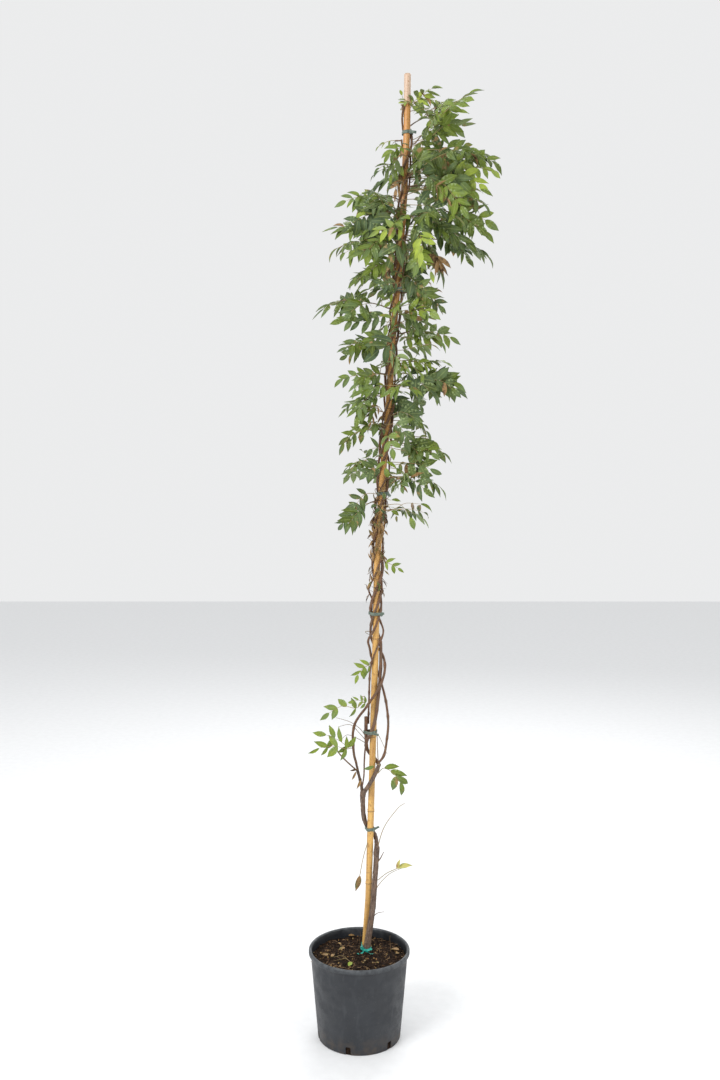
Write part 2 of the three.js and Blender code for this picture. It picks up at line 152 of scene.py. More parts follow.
def keep_result(piece):
    """Replaces a piece's mesh by what its modifiers make of it."""
    depsgraph = bpy.context.evaluated_depsgraph_get()
    made = bpy.data.meshes.new_from_object(
        piece.evaluated_get(depsgraph), preserve_all_data_layers=True, depsgraph=depsgraph
    )
    piece.modifiers.clear()
    piece.data = made


def attribute(tree, name, data_type="FLOAT"):
    """The value of a named attribute, inside a Geometry Nodes tree."""
    named = place(tree, "GeometryNodeInputNamedAttribute", {"Name": name}, data_type=data_type)
    return named.outputs["Attribute"]


def math_of(tree, operation, first, second=0.0):
    """The result of one Math node."""
    return place(tree, "ShaderNodeMath", {0: first, 1: second}, operation=operation).outputs[0]


def vector_of(tree, x, y, z):
    """Three numbers or sockets joined into one vector."""
    return place(tree, "ShaderNodeCombineXYZ", {0: x, 1: y, 2: z}).outputs[0]


def noise_of(tree, vector, scale, detail, **more):
    """The value of a noise texture."""
    values = {"Vector": vector, "Scale": scale, "Detail": detail, **more}
    return place(tree, "ShaderNodeTexNoise", values).outputs[0]


def drawn_upwards(tree, vector, stretch):
    """A place whose height is squeezed, so that noise read there is drawn out upwards."""
    squeeze = vector_of(tree, 1.0, 1.0, stretch)
    return place(tree, "ShaderNodeVectorMath", {0: vector, 1: squeeze}, operation="MULTIPLY").outputs[0]


def picked_shapes(tree, collection):
    """A collection's shapes as separate instances."""
    wanted = {"Collection": collection, "Separate Children": True}
    return place(tree, "GeometryNodeCollectionInfo", wanted).outputs[0]


def as_rotation(tree, angles):
    return place(tree, "FunctionNodeEulerToRotation", {0: angles}).outputs[0]


def random_vector(tree, low, high, seed):
    limits = {0: low, 1: high, "Seed": seed}
    return place(tree, "FunctionNodeRandomValue", limits, data_type="FLOAT_VECTOR").outputs[0]


def painted_with(tree, geometry, material):
    return place(tree, "GeometryNodeSetMaterial", {"Geometry": geometry, "Material": material}).outputs[0]


def realized(tree, geometry):
    return place(tree, "GeometryNodeRealizeInstances", {"Geometry": geometry}).outputs[0]


# %% [markdown]
# ## Helpers for meshes and pieces
# The CAD gives the plant in millimetres, with the stems written as heights and offsets beside
# the cane's axis, so the helpers here work in millimetres and turn to metres only when a mesh
# is made. `smooth` draws a rounded path through a few rows of numbers (a Catmull-Rom curve,
# which passes through every row), and `skin` closes a surface over a row of rings.

# %% Helpers for meshes and pieces
MM = 0.001
PIECES = {}


def new_piece(name, points, edges=(), faces=(), floats=(), vectors=()):
    """An object at the origin whose mesh is given in millimetres, with attributes on its points."""
    mesh = bpy.data.meshes.new(name)
    mesh.from_pydata([tuple(MM * x for x in p) for p in points], list(edges), list(faces))
    for label, values in dict(floats).items():
        mesh.attributes.new(label, "FLOAT", "POINT").data.foreach_set("value", values)
    for label, values in dict(vectors).items():
        flat = [x for value in values for x in value]
        mesh.attributes.new(label, "FLOAT_VECTOR", "POINT").data.foreach_set("vector", flat)
    piece = bpy.data.objects.new(name, mesh)
    scene.collection.objects.link(piece)
    return piece


def finish_piece(piece, slot, *nodes):
    """Lets a piece ride on the one body and stand for its CAD nodes; its slot is not used."""
    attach(piece, "root")
    if nodes:
        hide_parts(*nodes)
    PIECES[piece.name] = len(piece.data.polygons)


EDGE_ANGLE = 50


def solid_piece(name, shape, material, slot, node=None, sharp_angle=None, soft=True, **attributes):
    """A whole piece from points and faces: made, shaded, painted and handed to the frame."""
    points, faces = shape
    piece = new_piece(name, points, faces=faces, **attributes)
    if soft:
        shade(piece, sharp_angle)
    piece.data.materials.append(material)
    finish_piece(piece, slot, *([node] if node else []))
    return piece


def shade(piece, sharp_angle=None):
    """Smooth shading, with edges kept sharp where the surface turns more than an angle."""
    piece.data.shade_smooth()
    if sharp_angle:
        piece.data.set_sharp_from_angle(angle=math.radians(sharp_angle))


def smooth(rows, steps):
    """Rows of numbers with steps between each two of them, on a curve through all of them."""
    out = []
    for i in range(len(rows) - 1):
        a, b, c, d = rows[max(i - 1, 0)], rows[i], rows[i + 1], rows[min(i + 2, len(rows) - 1)]
        for k in range(steps):
            t = k / steps
            weights = (
                -t / 2 + t * t - t**3 / 2,
                1 - 2.5 * t * t + 1.5 * t**3,
                t / 2 + 2 * t * t - 1.5 * t**3,
                -t * t / 2 + t**3 / 2,
            )
            out.append([sum(w * row[n] for w, row in zip(weights, (a, b, c, d))) for n in range(len(a))])
    return out + [list(rows[-1])]


def skin(rings, closed_ends=True):
    """Points and outward faces over rings of equal length that turn anticlockwise seen from the end."""
    count = len(rings[0])
    points = [p for ring in rings for p in ring]
    faces = []
    for i in range(len(rings) - 1):
        for j in range(count):
            a, b = i * count + j, i * count + (j + 1) % count
            faces.append((a, b, b + count, a + count))
    if closed_ends:
        faces.append(tuple(range(count))[::-1])
        faces.append(tuple(range(len(points) - count, len(points))))
    return points, faces


# %% [markdown]
# ## Shared shader groups
# Three effects return in nearly every finish here. *Mottle* is soft uneven colour, as on
# plastic that has stood outside or on bark. *Streaks* are the same noise drawn out along the
# height, as in the fibres of bamboo. *Relief* turns noise into a bump, so that light breaks on
# the surface. Each is a node group with named inputs, built once. They all read Object
# coordinates, which stay with the piece when it is moved or baked.

# %% Shared shader groups
def object_point(tree):
    return place(tree, "ShaderNodeTexCoord").outputs["Object"]


def clamp_range(tree, value, low, high, to_low=0.0, to_high=1.0):
    return place(tree, "ShaderNodeMapRange", {0: value, 1: low, 2: high, 3: to_low, 4: to_high}).outputs[0]


def float_sockets(**defaults):
    return [(name, "Float", value) for name, value in defaults.items()]


def build_mottle():
    sockets = float_sockets(Scale=40.0, Detail=4.0, Low=0.4, High=0.6)
    tree, given, result = new_tree("Mottle", "ShaderNodeTree", sockets, [("Mask", "Float", None)])
    patches = noise_of(tree, object_point(tree), given["Scale"], given["Detail"], Roughness=0.6)
    tree.links.new(clamp_range(tree, patches, given["Low"], given["High"]), result["Mask"])
    return tree


def build_streaks():
    sockets = float_sockets(Scale=400.0, Stretch=0.05, Low=0.35, High=0.65)
    tree, given, result = new_tree("Streaks", "ShaderNodeTree", sockets, [("Mask", "Float", None)])
    where = drawn_upwards(tree, object_point(tree), given["Stretch"])
    fibres = noise_of(tree, where, given["Scale"], 3.0, Roughness=0.55)
    tree.links.new(clamp_range(tree, fibres, given["Low"], given["High"]), result["Mask"])
    return tree


def build_relief():
    sockets = float_sockets(Scale=600.0, Depth=0.0003, Height=0.0)
    tree, given, result = new_tree("Relief", "ShaderNodeTree", sockets, [("Normal", "Vector", None)])
    grain = noise_of(tree, object_point(tree), given["Scale"], 4.0)
    height = math_of(tree, "ADD", grain, given["Height"])
    bump = place(tree, "ShaderNodeBump", {"Strength": 1.0, "Distance": given["Depth"], "Height": height})
    tree.links.new(bump.outputs[0], result["Normal"])
    return tree


MOTTLE, STREAKS, RELIEF = build_mottle(), build_streaks(), build_relief()
print("shader groups:", MOTTLE.name, STREAKS.name, RELIEF.name)

# %% [markdown]
# ## A finish in a few lines
# A material here is a base colour that is mixed step by step with others, each through its own
# mask, and then a roughness and a normal. The `Finish` helper keeps the material, its tree and
# its Principled shader together, so that each finish below reads as a recipe.

# %% A finish in a few lines
def linear(red, green, blue):
    """A colour given as 0 to 255 on a screen, as the shader's own linear numbers."""
    shares = [x / 255 for x in (red, green, blue)]
    return tuple(((x + 0.055) / 1.055) ** 2.4 if x > 0.04 else x / 12.92 for x in shares) + (1,)


class Finish:
    def __init__(self, name, color, roughness):
        self.material = bpy.data.materials.new(name)
        self.material.use_nodes = True
        self.tree = self.material.node_tree
        self.shader = self.tree.nodes["Principled BSDF"]
        self.shader.inputs["Roughness"].default_value = roughness
        self.color = place(self.tree, "ShaderNodeRGB").outputs[0]
        self.color.default_value = linear(*color)

    def group(self, group, output=0, **values):
        node = place(self.tree, "ShaderNodeGroup", node_tree=group)
        for key, value in values.items():
            if isinstance(value, bpy.types.NodeSocket):
                self.tree.links.new(value, node.inputs[key.capitalize()])
            else:
                node.inputs[key.capitalize()].default_value = value
        return node.outputs[output]

    def mottle(self, scale, low=0.4, high=0.6, detail=4.0):
        return self.group(MOTTLE, scale=scale, low=low, high=high, detail=detail)

    def streaks(self, scale, stretch, low=0.35, high=0.65):
        return self.group(STREAKS, scale=scale, stretch=stretch, low=low, high=high)

    def attribute(self, name):
        return place(self.tree, "ShaderNodeAttribute", attribute_name=name).outputs["Fac"]

    def math(self, operation, first, second=0.0):
        return math_of(self.tree, operation, first, second)

    def ramp(self, value, low, high, to_low=0.0, to_high=1.0):
        return clamp_range(self.tree, value, low, high, to_low, to_high)

    def height(self):
        """The height in metres above the pot's foot."""
        return place(self.tree, "ShaderNodeSeparateXYZ", {0: object_point(self.tree)}).outputs[2]

    def mix(self, mask, color, share=1.0):
        """Lays another colour over the base where the mask is high."""
        other = linear(*color) if isinstance(color, tuple) else color
        if share < 1:
            mask = self.math("MULTIPLY", mask, share)
        parts = {0: mask, 6: self.color, 7: other}
        self.color = place(self.tree, "ShaderNodeMix", parts, data_type="RGBA", blend_type="MIX").outputs[2]

    def layers(self, *rows):
        """Mixes in noises: each row is the kind of noise, its numbers, a colour and its share."""
        for kind, numbers, color, share in rows:
            self.mix(getattr(self, kind)(*numbers), color, share)

    def done(self, relief_scale=600.0, depth=0.0003, height=0.0, roughness=None):
        self.tree.links.new(self.color, self.shader.inputs["Base Color"])
        normal = self.group(RELIEF, scale=relief_scale, depth=depth, height=height)
        self.tree.links.new(normal, self.shader.inputs["Normal"])
        if roughness:
            self.tree.links.new(roughness, self.shader.inputs["Roughness"])
        return self.material


# %% [markdown]
# ## The floor
# A pale sheet for the pot to stand on. It is left out of the object's pieces.

# %% The floor
floor_finish = Finish("floor_paint", (234, 235, 236), 0.8)
floor_finish.mix(floor_finish.mottle(30.0), (231, 232, 233))
FLOOR_PAINT = floor_finish.done(relief_scale=90.0, depth=0.0002)
HALF_FLOOR = 9000
corners = [(x * HALF_FLOOR, y * HALF_FLOOR, 0) for x, y in ((-1, -1), (1, -1), (1, 1), (-1, 1))]
floor = new_piece("floor", corners, faces=[(0, 1, 2, 3)])
floor.data.materials.append(FLOOR_PAINT)
print("floor", 2 * HALF_FLOOR * MM, "m wide")

# %% [markdown]
# ## The pot's plastic
# A thin blown pot in dark slate blue. It has stood in a nursery, so the wall is scuffed in
# pale patches and the foot has picked up brown dirt. The roll of the lip is painted lighter
# towards its top, in patches: a painted highlight.

# %% The pot's plastic
pot_finish = Finish("slate_plastic", (30, 33, 38), 0.5)
pot_finish.layers(
    ("mottle", (14.0, 0.42, 0.66), (43, 46, 51), 0.7),
    ("streaks", (60.0, 0.25, 0.55, 0.72), (60, 63, 67), 0.35),
    ("mottle", (240.0, 0.6, 0.7), (84, 84, 82), 0.25),
)
# Painted highlight: the roll of the lip grows lighter towards its top, in patches.
high = pot_finish.ramp(pot_finish.height(), 0.214, 0.226)
pot_finish.mix(pot_finish.math("MULTIPLY", high, pot_finish.mottle(70.0, 0.3, 0.6)), (88, 92, 95), 0.6)
low = pot_finish.ramp(pot_finish.height(), 0.05, 0.0)
pot_finish.mix(pot_finish.math("MULTIPLY", low, pot_finish.mottle(50.0, 0.4, 0.62)), (74, 62, 50), 0.7)
scuffed = pot_finish.ramp(pot_finish.mottle(30.0), 0.0, 1.0, 0.42, 0.62)
SLATE_PLASTIC = pot_finish.done(relief_scale=900.0, depth=0.00025, roughness=scuffed)

# %% [markdown]
# ## The pot
# A turned shape: one outline spun about the axis. We could use the Screw modifier, but writing
# the rings ourselves lets us round the lip with a short arc. The six drain slots are then cut
# with a Boolean modifier, whose cutters are tall rounded blocks.

# %% The pot
POT = {"height": 228, "foot": 106, "wall_top": 124.6, "lip": 129.4, "drop": 11, "wall": 2.4, "floor": 5.6}
POT_SIDES = 144
SLOT = {"count": 6, "width": 13, "height": 21, "depth": 13, "first": 15, "corner": 3}


def arc(middle, radius, start, end, steps):
    """Points on a circle in the outline's plane, from one angle in degrees to another."""
    turns = [math.radians(start + (end - start) * k / steps) for k in range(steps + 1)]
    return [(middle[0] + radius * math.cos(a), middle[1] + radius * math.sin(a)) for a in turns]


def pot_outline():
    foot, top, lip, height = POT["foot"], POT["wall_top"], POT["lip"], POT["height"]
    skirt = height - POT["drop"]
    outline = [(0, 0), (64, 0), (66, 3), (90, 3), (92, 0), (foot - 2, 0)]
    outline += arc((foot - 2, 2), 2, -80, 0, 4)
    for share in (0.1, 0.25, 0.4, 0.55, 0.7, 0.8):
        outline.append((foot + (top - foot) * share, 2 + (skirt - 2) * share))
    outline += [(top - 2.1, skirt - 22), (top - 2.6, skirt - 20.5), (top - 1.2, skirt - 4), (top, skirt)]
    outline += arc((lip - 1.6, skirt + 1.6), 1.6, -70, 0, 3)
    outline += arc((lip - 4, height - 4), 4, 5, 175, 12)
    outline += [(top - POT["wall"] + 0.2, skirt - 1)]
    outline += [(foot - POT["wall"] + (top - foot) * s, 6 + (skirt - 8) * s) for s in (0.75, 0.5, 0.25, 0.02)]
    outline += [(foot - POT["wall"] - 2, POT["floor"]), (0, POT["floor"])]
    return outline


def turned(outline, sides):
    """Points and faces of an outline that starts and ends on the axis, turned about it."""
    points = [(0, 0, outline[0][1])]
    for r, z in outline[1:-1]:
        for k in range(sides):
            a = 2 * math.pi * k / sides
            points.append((r * math.cos(a), r * math.sin(a), z))
    points.append((0, 0, outline[-1][1]))
    rings = len(outline) - 2
    faces = []
    for k in range(sides):
        n = (k + 1) % sides
        faces.append((0, 1 + n, 1 + k))
        for i in range(rings - 1):
            a, b = 1 + i * sides + k, 1 + i * sides + n
            faces.append((a, b, b + sides, a + sides))
        last = 1 + (rings - 1) * sides
        faces.append((last + k, last + n, len(points) - 1))
    return points, faces


def slot_cutter(turn):
    """A tall block with rounded upper corners that lies across the foot of the wall."""
    half, height, corner = SLOT["width"] / 2, SLOT["height"], SLOT["corner"]
    shape = [(-half, -4), (half, -4)]
    shape += arc((half - corner, height - corner), corner, 0, 90, 4)
    shape += arc((corner - half, height - corner), corner, 90, 180, 4)
    inner, outer = POT["foot"] - SLOT["depth"], POT["foot"] + SLOT["depth"]
    rings, cos, sin = [], math.cos(turn), math.sin(turn)
    for r in (inner, outer):
        rings.append([(r * cos - s * sin, r * sin + s * cos, z) for s, z in shape])
    return skin(rings)


def cut_with(piece, cutters):
    """Cuts other closed shapes out of a piece and removes them."""
    for cutter in cutters:
        modifier = piece.modifiers.new("cut", "BOOLEAN")
        modifier.operation, modifier.solver, modifier.object = "DIFFERENCE", "EXACT", cutter
    keep_result(piece)
    for cutter in cutters:
        bpy.data.objects.remove(cutter)


points, faces = turned(pot_outline(), POT_SIDES)
pot = new_piece("nursery_pot", points, faces=faces)
cutters = []
for k in range(SLOT["count"]):
    points, faces = slot_cutter(math.radians(SLOT["first"] + k * 360 / SLOT["count"]))
    cutters.append(new_piece(f"cutter_{k}", points, faces=faces))
cut_with(pot, cutters)
shade(pot, 40)
pot.data.materials.clear()
pot.data.materials.append(SLATE_PLASTIC)
finish_piece(pot, "pot_plastic", "pot")
print("pot:", len(pot.data.polygons), "faces")

# %% [markdown]
# ## The potting mix
# A dark crumbly mix of fibre and bark. The block is a turned shape whose top is pushed up and
# down by noise. The crumbs on it repeat by the hundred, which is what Geometry Nodes are for:
# one tree scatters points over the upper faces and puts a random crumb on each.

# %% The potting mix
soil_finish = Finish("potting_mix", (30, 21, 14), 0.95)
soil_finish.shader.inputs["Specular IOR Level"].default_value = 0.15
soil_finish.layers(
    ("mottle", (90.0, 0.42, 0.6), (50, 36, 26), 1),
    ("mottle", (260.0, 0.55, 0.62), (18, 13, 10), 1),
    ("mottle", (420.0, 0.62, 0.68), (80, 60, 42), 0.7),
)
POTTING_MIX = soil_finish.done(relief_scale=350.0, depth=0.0028)

CRUMB_COLORS = [(28, 20, 15), (52, 37, 26), (86, 64, 44), (150, 122, 78), (136, 76, 46)]
crumb_finish = Finish("bark_crumb", CRUMB_COLORS[0], 0.9)
crumb_finish.shader.inputs["Specular IOR Level"].default_value = 0.15
for step, color in enumerate(CRUMB_COLORS[1:]):
    start = (0.45, 0.78, 0.93, 0.98)[step]
    crumb_finish.mix(crumb_finish.ramp(crumb_finish.attribute("tint"), start, start + 0.04), color)
crumb_finish.mix(crumb_finish.mottle(500.0, 0.5, 0.64), (34, 25, 18), 0.5)
BARK_CRUMB = crumb_finish.done(relief_scale=900.0, depth=0.0005)

SOIL = {"rim": 204, "middle": 208, "rings": 44, "sides": 132, "lumps": 2.6}


def soil_top(r, edge):
    """The mean height of the mix at a distance from the pot's axis."""
    return SOIL["rim"] + (SOIL["middle"] - SOIL["rim"]) * (1 - (r / edge) ** 2)


def soil_block():
    slope = (POT["wall_top"] - POT["foot"]) / (POT["height"] - POT["drop"] - 2)
    wall = lambda z: POT["foot"] - POT["wall"] - 0.6 + slope * (z - 2)
    edge = wall(SOIL["rim"])
    outline = [(0, 5.9), (POT["foot"] - POT["wall"] - SLOT["depth"], 5.9), (wall(25) - 2, 25), (wall(28), 28)]
    outline += [(wall(z), z) for z in (70, 120, 165)] + [(edge, SOIL["rim"] - 3)]
    for k in range(SOIL["rings"]):
        r = edge * (1 - (k + 0.3) / (SOIL["rings"] + 0.3))
        outline.append((r, soil_top(r, edge)))
    outline.append((0, SOIL["middle"]))
    points, faces = turned(outline, SOIL["sides"])
    lumpy = []
    for x, y, z in points:
        if z > SOIL["rim"] - 2:
            at = Vector((x, y, 0))
            lumps = noise.noise(at * 0.05) + 0.8 * noise.noise(at * 0.16) + 0.5 * noise.noise(at * 0.4)
            z += SOIL["lumps"] * lumps
        elif 28 < z < 190:
            shrink = 1 - 0.004 * (1 + noise.noise(Vector((x, y, z)) * 0.08))
            x, y = x * shrink, y * shrink
        lumpy.append((x, y, z))
    return lumpy, faces


def slot_disc():
    """A low rough disc of mix at the foot of the wall, which is what shows in the drain slots."""
    points, faces = turned([(0, 0.6), (105, 0.6), (104.6, 6), (103.4, 14), (103.2, 25), (0, 25)], 180)
    rough = []
    for x, y, z in points:
        shrink = 1 - 0.007 * (1 + noise.noise(Vector((x, y, z)) * 0.3))
        rough.append((x * shrink, y * shrink, z))
    return rough, faces


soil = solid_piece("potting_mix", soil_block(), POTTING_MIX, "potting_mix", "soil")
slot_mix = solid_piece("slot_mix", slot_disc(), POTTING_MIX, "potting_mix", soft=False)
print("potting mix:", len(soil.data.polygons), "faces, in the slots:", len(slot_mix.data.polygons))

# %% [markdown]
# ### Crumbs, prills and root fibres
# The shapes to scatter are made first and put in a collection that is not part of the scene.
# A crumb is a ball with a few faces, pushed out of shape; a prill is a small smooth ball of
# feed; a fibre is a short bent stick. The tree reads its shapes from the collection.

# %% Shapes for the scatter
def lump(name, sides, rings, size, rough, seed, collection):
    """A closed lumpy ball with few faces, sized in millimetres."""
    rand = random.Random(seed)
    outline = [(0, -1)] + [
        (math.sin(math.pi * k / rings), -math.cos(math.pi * k / rings)) for k in range(1, rings)
    ] + [(0, 1)]
    points, faces = turned(outline, sides)
    moved = []
    for p in points:
        push = 1 + rough * rand.uniform(-1, 1)
        moved.append(tuple(MM * s * x * push for s, x in zip(size, p)))
    return stored_shape(name, moved, faces, collection)


def stored_shape(name, points, faces, collection):
    mesh = bpy.data.meshes.new(name)
    mesh.from_pydata(points, [], faces)
    shape = bpy.data.objects.new(name, mesh)
    collection.objects.link(shape)
    return shape


def bent_stick(name, length, radius, bow, seed, collection):
    """A closed bent stick with four sides, sized in millimetres."""
    rand = random.Random(seed)
    rings = []
    for k in range(6):
        t = k / 5
        y = bow * math.sin(math.pi * t) + rand.uniform(-0.4, 0.4)
        middle = (length * (t - 0.5), y, rand.uniform(0, 1.2))
        r = radius * (1 - 0.5 * abs(2 * t - 1) ** 3)
        rings.append([
            (MM * middle[0], MM * (middle[1] + r * math.cos(a)), MM * (middle[2] + r * math.sin(a)))
            for a in (0, math.pi / 2, math.pi, 1.5 * math.pi)
        ])
    points, faces = skin(rings)
    return stored_shape(name, points, faces, collection)


def clear_shapes(collection):
    """Removes a collection of shapes once they have been used."""
    for shape in list(collection.objects):
        bpy.data.objects.remove(shape)
    bpy.data.collections.remove(collection)


crumbs = bpy.data.collections.new("crumbs")
for k, size in enumerate([(3.4, 2.2, 1.1), (2.2, 1.8, 1.4), (4.6, 1.6, 0.9), (2.8, 2.6, 0.8), (1.6, 1.4, 1.2)]):
    lump(f"crumb_{k}", 6, 4, size, 0.28, 11 + k, crumbs)
prills = bpy.data.collections.new("prills")
lump("prill", 8, 6, (1.5, 1.5, 1.4), 0.02, 3, prills)
fibres = bpy.data.collections.new("fibres")
for k, (length, bow) in enumerate([(16, 2.5), (24, -4), (12, 3.5)]):
    bent_stick(f"fibre_{k}", length, 0.45, bow, 21 + k, fibres)

# %% [markdown]
# ### The scatter tree
# `Distribute Points on Faces` drops points with a fixed seed. The random turn, size and tint
# all come from `Random Value` nodes with seeds of their own. The tint is stored on each
# instance, so that after Realize Instances the material can still tell the crumbs apart.

# %% The scatter tree
def build_scatter():
    inputs = [
        ("Geometry", "Geometry", None), ("Shapes", "Collection", None), ("Density", "Float", 9000.0),
        ("Smallest", "Float", 0.6), ("Largest", "Float", 1.5), ("Tilt", "Float", 0.5), ("Seed", "Int", 1),
        ("Lift", "Float", 0.0005), ("Finish", "Material", None),
    ]
    tree, given, result = new_tree("Scatter", "GeometryNodeTree", inputs, [("Geometry", "Geometry", None)])
    def upright(kind):
        return place(tree, "ShaderNodeSeparateXYZ", {0: place(tree, kind).outputs[0]}).outputs[2]

    upper = math_of(tree, "GREATER_THAN", upright("GeometryNodeInputPosition"), (SOIL["rim"] - 3) * MM)
    facing_up = math_of(tree, "GREATER_THAN", upright("GeometryNodeInputNormal"), 0.3)
    points = place(tree, "GeometryNodeDistributePointsOnFaces", {
        "Mesh": given["Geometry"], "Selection": math_of(tree, "MULTIPLY", upper, facing_up),
        "Density": given["Density"], "Seed": given["Seed"],
    })
    tilt_back = math_of(tree, "MULTIPLY", given["Tilt"], -1.0)
    low = vector_of(tree, tilt_back, tilt_back, -math.pi)
    high = vector_of(tree, given["Tilt"], given["Tilt"], math.pi)
    turn = random_vector(tree, low, high, given["Seed"])
    size = place(
        tree, "FunctionNodeRandomValue", {2: given["Smallest"], 3: given["Largest"], "Seed": given["Seed"]}
    )
    lift = vector_of(tree, 0.0, 0.0, given["Lift"])
    raised = place(tree, "GeometryNodeSetPosition", {"Geometry": points.outputs[0], "Offset": lift})
    instances = place(tree, "GeometryNodeInstanceOnPoints", {
        "Points": raised.outputs[0], "Instance": picked_shapes(tree, given["Shapes"]), "Pick Instance": True,
        "Rotation": as_rotation(tree, turn), "Scale": size.outputs[1],
    })
    tint = place(tree, "FunctionNodeRandomValue", {2: 0.0, 3: 1.0, "Seed": 7})
    tinted = place(
        tree, "GeometryNodeStoreNamedAttribute",
        {"Geometry": instances.outputs[0], "Name": "tint", "Value": tint.outputs[1]},
        data_type="FLOAT", domain="INSTANCE",
    )
    soft = place(tree, "GeometryNodeSetShadeSmooth", {"Geometry": realized(tree, tinted.outputs[0])})
    tree.links.new(painted_with(tree, soft.outputs[0], given["Finish"]), result["Geometry"])
    return tree


SCATTER = build_scatter()

# %% Crumbs, prills and fibres on the mix
prill_finish = Finish("feed_prill", (142, 122, 72), 0.45)
prill_finish.mix(prill_finish.mottle(300.0), (118, 88, 50))
FEED_PRILL = prill_finish.done(relief_scale=1500.0, depth=0.0001)
fibre_finish = Finish("root_fibre", (176, 146, 108), 0.85)
fibre_finish.mix(fibre_finish.mottle(200.0), (120, 88, 62))
ROOT_FIBRE = fibre_finish.done(relief_scale=1500.0, depth=0.0002)


def scattered(name, shapes, finish, **values):
    points, faces = soil_block()
    piece = new_piece(name, points, faces=faces)
    run_tree(piece, SCATTER, {"Shapes": shapes, "Finish": finish, **values})
    finish_piece(piece, "potting_mix")
    clear_shapes(shapes)
    print(name, len(piece.data.polygons), "faces")


scattered("mix_crumbs", crumbs, BARK_CRUMB, Density=26000.0, Smallest=0.5, Largest=1.5, Tilt=0.7, Seed=4)
scattered(
    "feed_prills", prills, FEED_PRILL, Density=420.0, Smallest=1.1, Largest=1.7, Tilt=0.3, Seed=8,
    Lift=0.001,
)
scattered("root_fibres", fibres, ROOT_FIBRE, Density=2600.0, Smallest=0.6, Largest=1.3, Tilt=0.25, Seed=15)

# %% [markdown]
# ## The bamboo cane
# A bamboo culm is a straight tube between swollen nodes. Each node has two edges: the scar
# where the sheath sat and, just above it, a ridge. The cane bends a little at each node. We
# could turn a cylinder, but a bent axis is easier as a row of rings that follow it. The
# attribute `scar` marks the rings near a node, so that the material can darken them there.

# %% The cane's axis
CANE_AXIS = [
    [20, 3, 51], [205, 15, 50], [345, 24, 47], [525, 29, 44], [705, 34, 41], [865, 38, 38], [1020, 42, 35],
    [1200, 45, 32], [1365, 54, 29], [1500, 64, 26], [1625, 75, 24], [1760, 82, 22], [1930, 97, 19],
    [2115, 110, 15], [2280, 117, 12], [2415, 118, 10],
]
CANE = {"radius": 8.3, "bore": 4.4, "bore_depth": 18, "sides": 36}
CANE_RINGS = [380, 572, 768, 1022, 1312, 1604, 1890, 2128, 2346]


def between(rows, z):
    """The numbers at a height in rows that start with a height, on straight lines between them."""
    i = 0
    while i < len(rows) - 2 and rows[i + 1][0] <= z:
        i += 1
    share = (z - rows[i][0]) / (rows[i + 1][0] - rows[i][0])
    return [a + share * (b - a) for a, b in zip(rows[i], rows[i + 1])]


def beside(z, dx=0.0, dy=0.0):
    """A point beside the cane's axis."""
    _, x, y = between(CANE_AXIS, z)
    return Vector((x + dx, y + dy, z))


def culm_radius(z):
    """The culm's radius and how much of a node's dark scar lies at a height."""
    swell, scar = 0.0, 0.0
    for node in CANE_RINGS:
        d = z - node
        swell += 0.95 * math.exp(-((d - 2.2) / 2.6) ** 2) + 0.8 * math.exp(-((d + 1.6) / 1.1) ** 2)
        swell -= 0.35 * math.exp(-((d + 0.1) / 0.7) ** 2)
        scar += math.exp(-((d - 0.2) / 1.1) ** 2)
    return CANE["radius"] * (1 - 0.012 * math.sin(z * 0.021)) + swell, scar


bamboo_finish = Finish("bamboo", (206, 164, 92), 0.42)
upward = bamboo_finish.ramp(bamboo_finish.height(), 0.75, 1.9)
bamboo_finish.mix(upward, (184, 128, 66))
bamboo_finish.layers(
    ("streaks", (260.0, 0.03, 0.46, 0.62), (176, 128, 66), 0.55),
    ("streaks", (120.0, 0.02, 0.56, 0.66), (150, 102, 56), 0.5),
    ("streaks", (500.0, 0.02, 0.6, 0.68), (228, 196, 134), 0.5),
)
bamboo_finish.mix(bamboo_finish.ramp(bamboo_finish.height(), 2.34, 2.352), (192, 168, 148), 0.85)
bamboo_finish.layers(
    ("mottle", (330.0, 0.6, 0.66), (112, 76, 44), 0.8),
    ("mottle", (24.0, 0.56, 0.7), (132, 92, 56), 0.5),
    ("mottle", (150.0, 0.6, 0.66), (140, 96, 50), 0.65),
)
bamboo_finish.mix(bamboo_finish.ramp(bamboo_finish.attribute("scar"), 0.25, 0.9), (84, 58, 40), 0.85)
bamboo_finish.mix(bamboo_finish.attribute("inside"), (120, 92, 60))
BAMBOO = bamboo_finish.done(relief_scale=700.0, depth=0.0002)


def cane_rings():
    """Rings up the outside, over the cut rim and down the bore, each with its scar value."""
    heights = set(range(20, 2414, 12))
    for node in CANE_RINGS:
        heights |= {node + step for step in (-5, -3.4, -2.4, -1.7, -1, -0.4, 0.2, 0.8, 1.5, 2.3, 3.2, 4.4, 6)}
    rows = [(z, *culm_radius(z), 0.0) for z in sorted(heights)]
    rows.append((2414.2, CANE["radius"], 0.0, 0.0))
    rows.append((2415, CANE["radius"] - 0.7, 0.0, 0.3))
    rows.append((2414.8, CANE["bore"] + 0.4, 0.0, 0.6))
    rows.append((2413.6, CANE["bore"], 0.3, 1.0))
    rows.append((2415 - CANE["bore_depth"], CANE["bore"] - 0.4, 0.5, 1.0))
    return rows


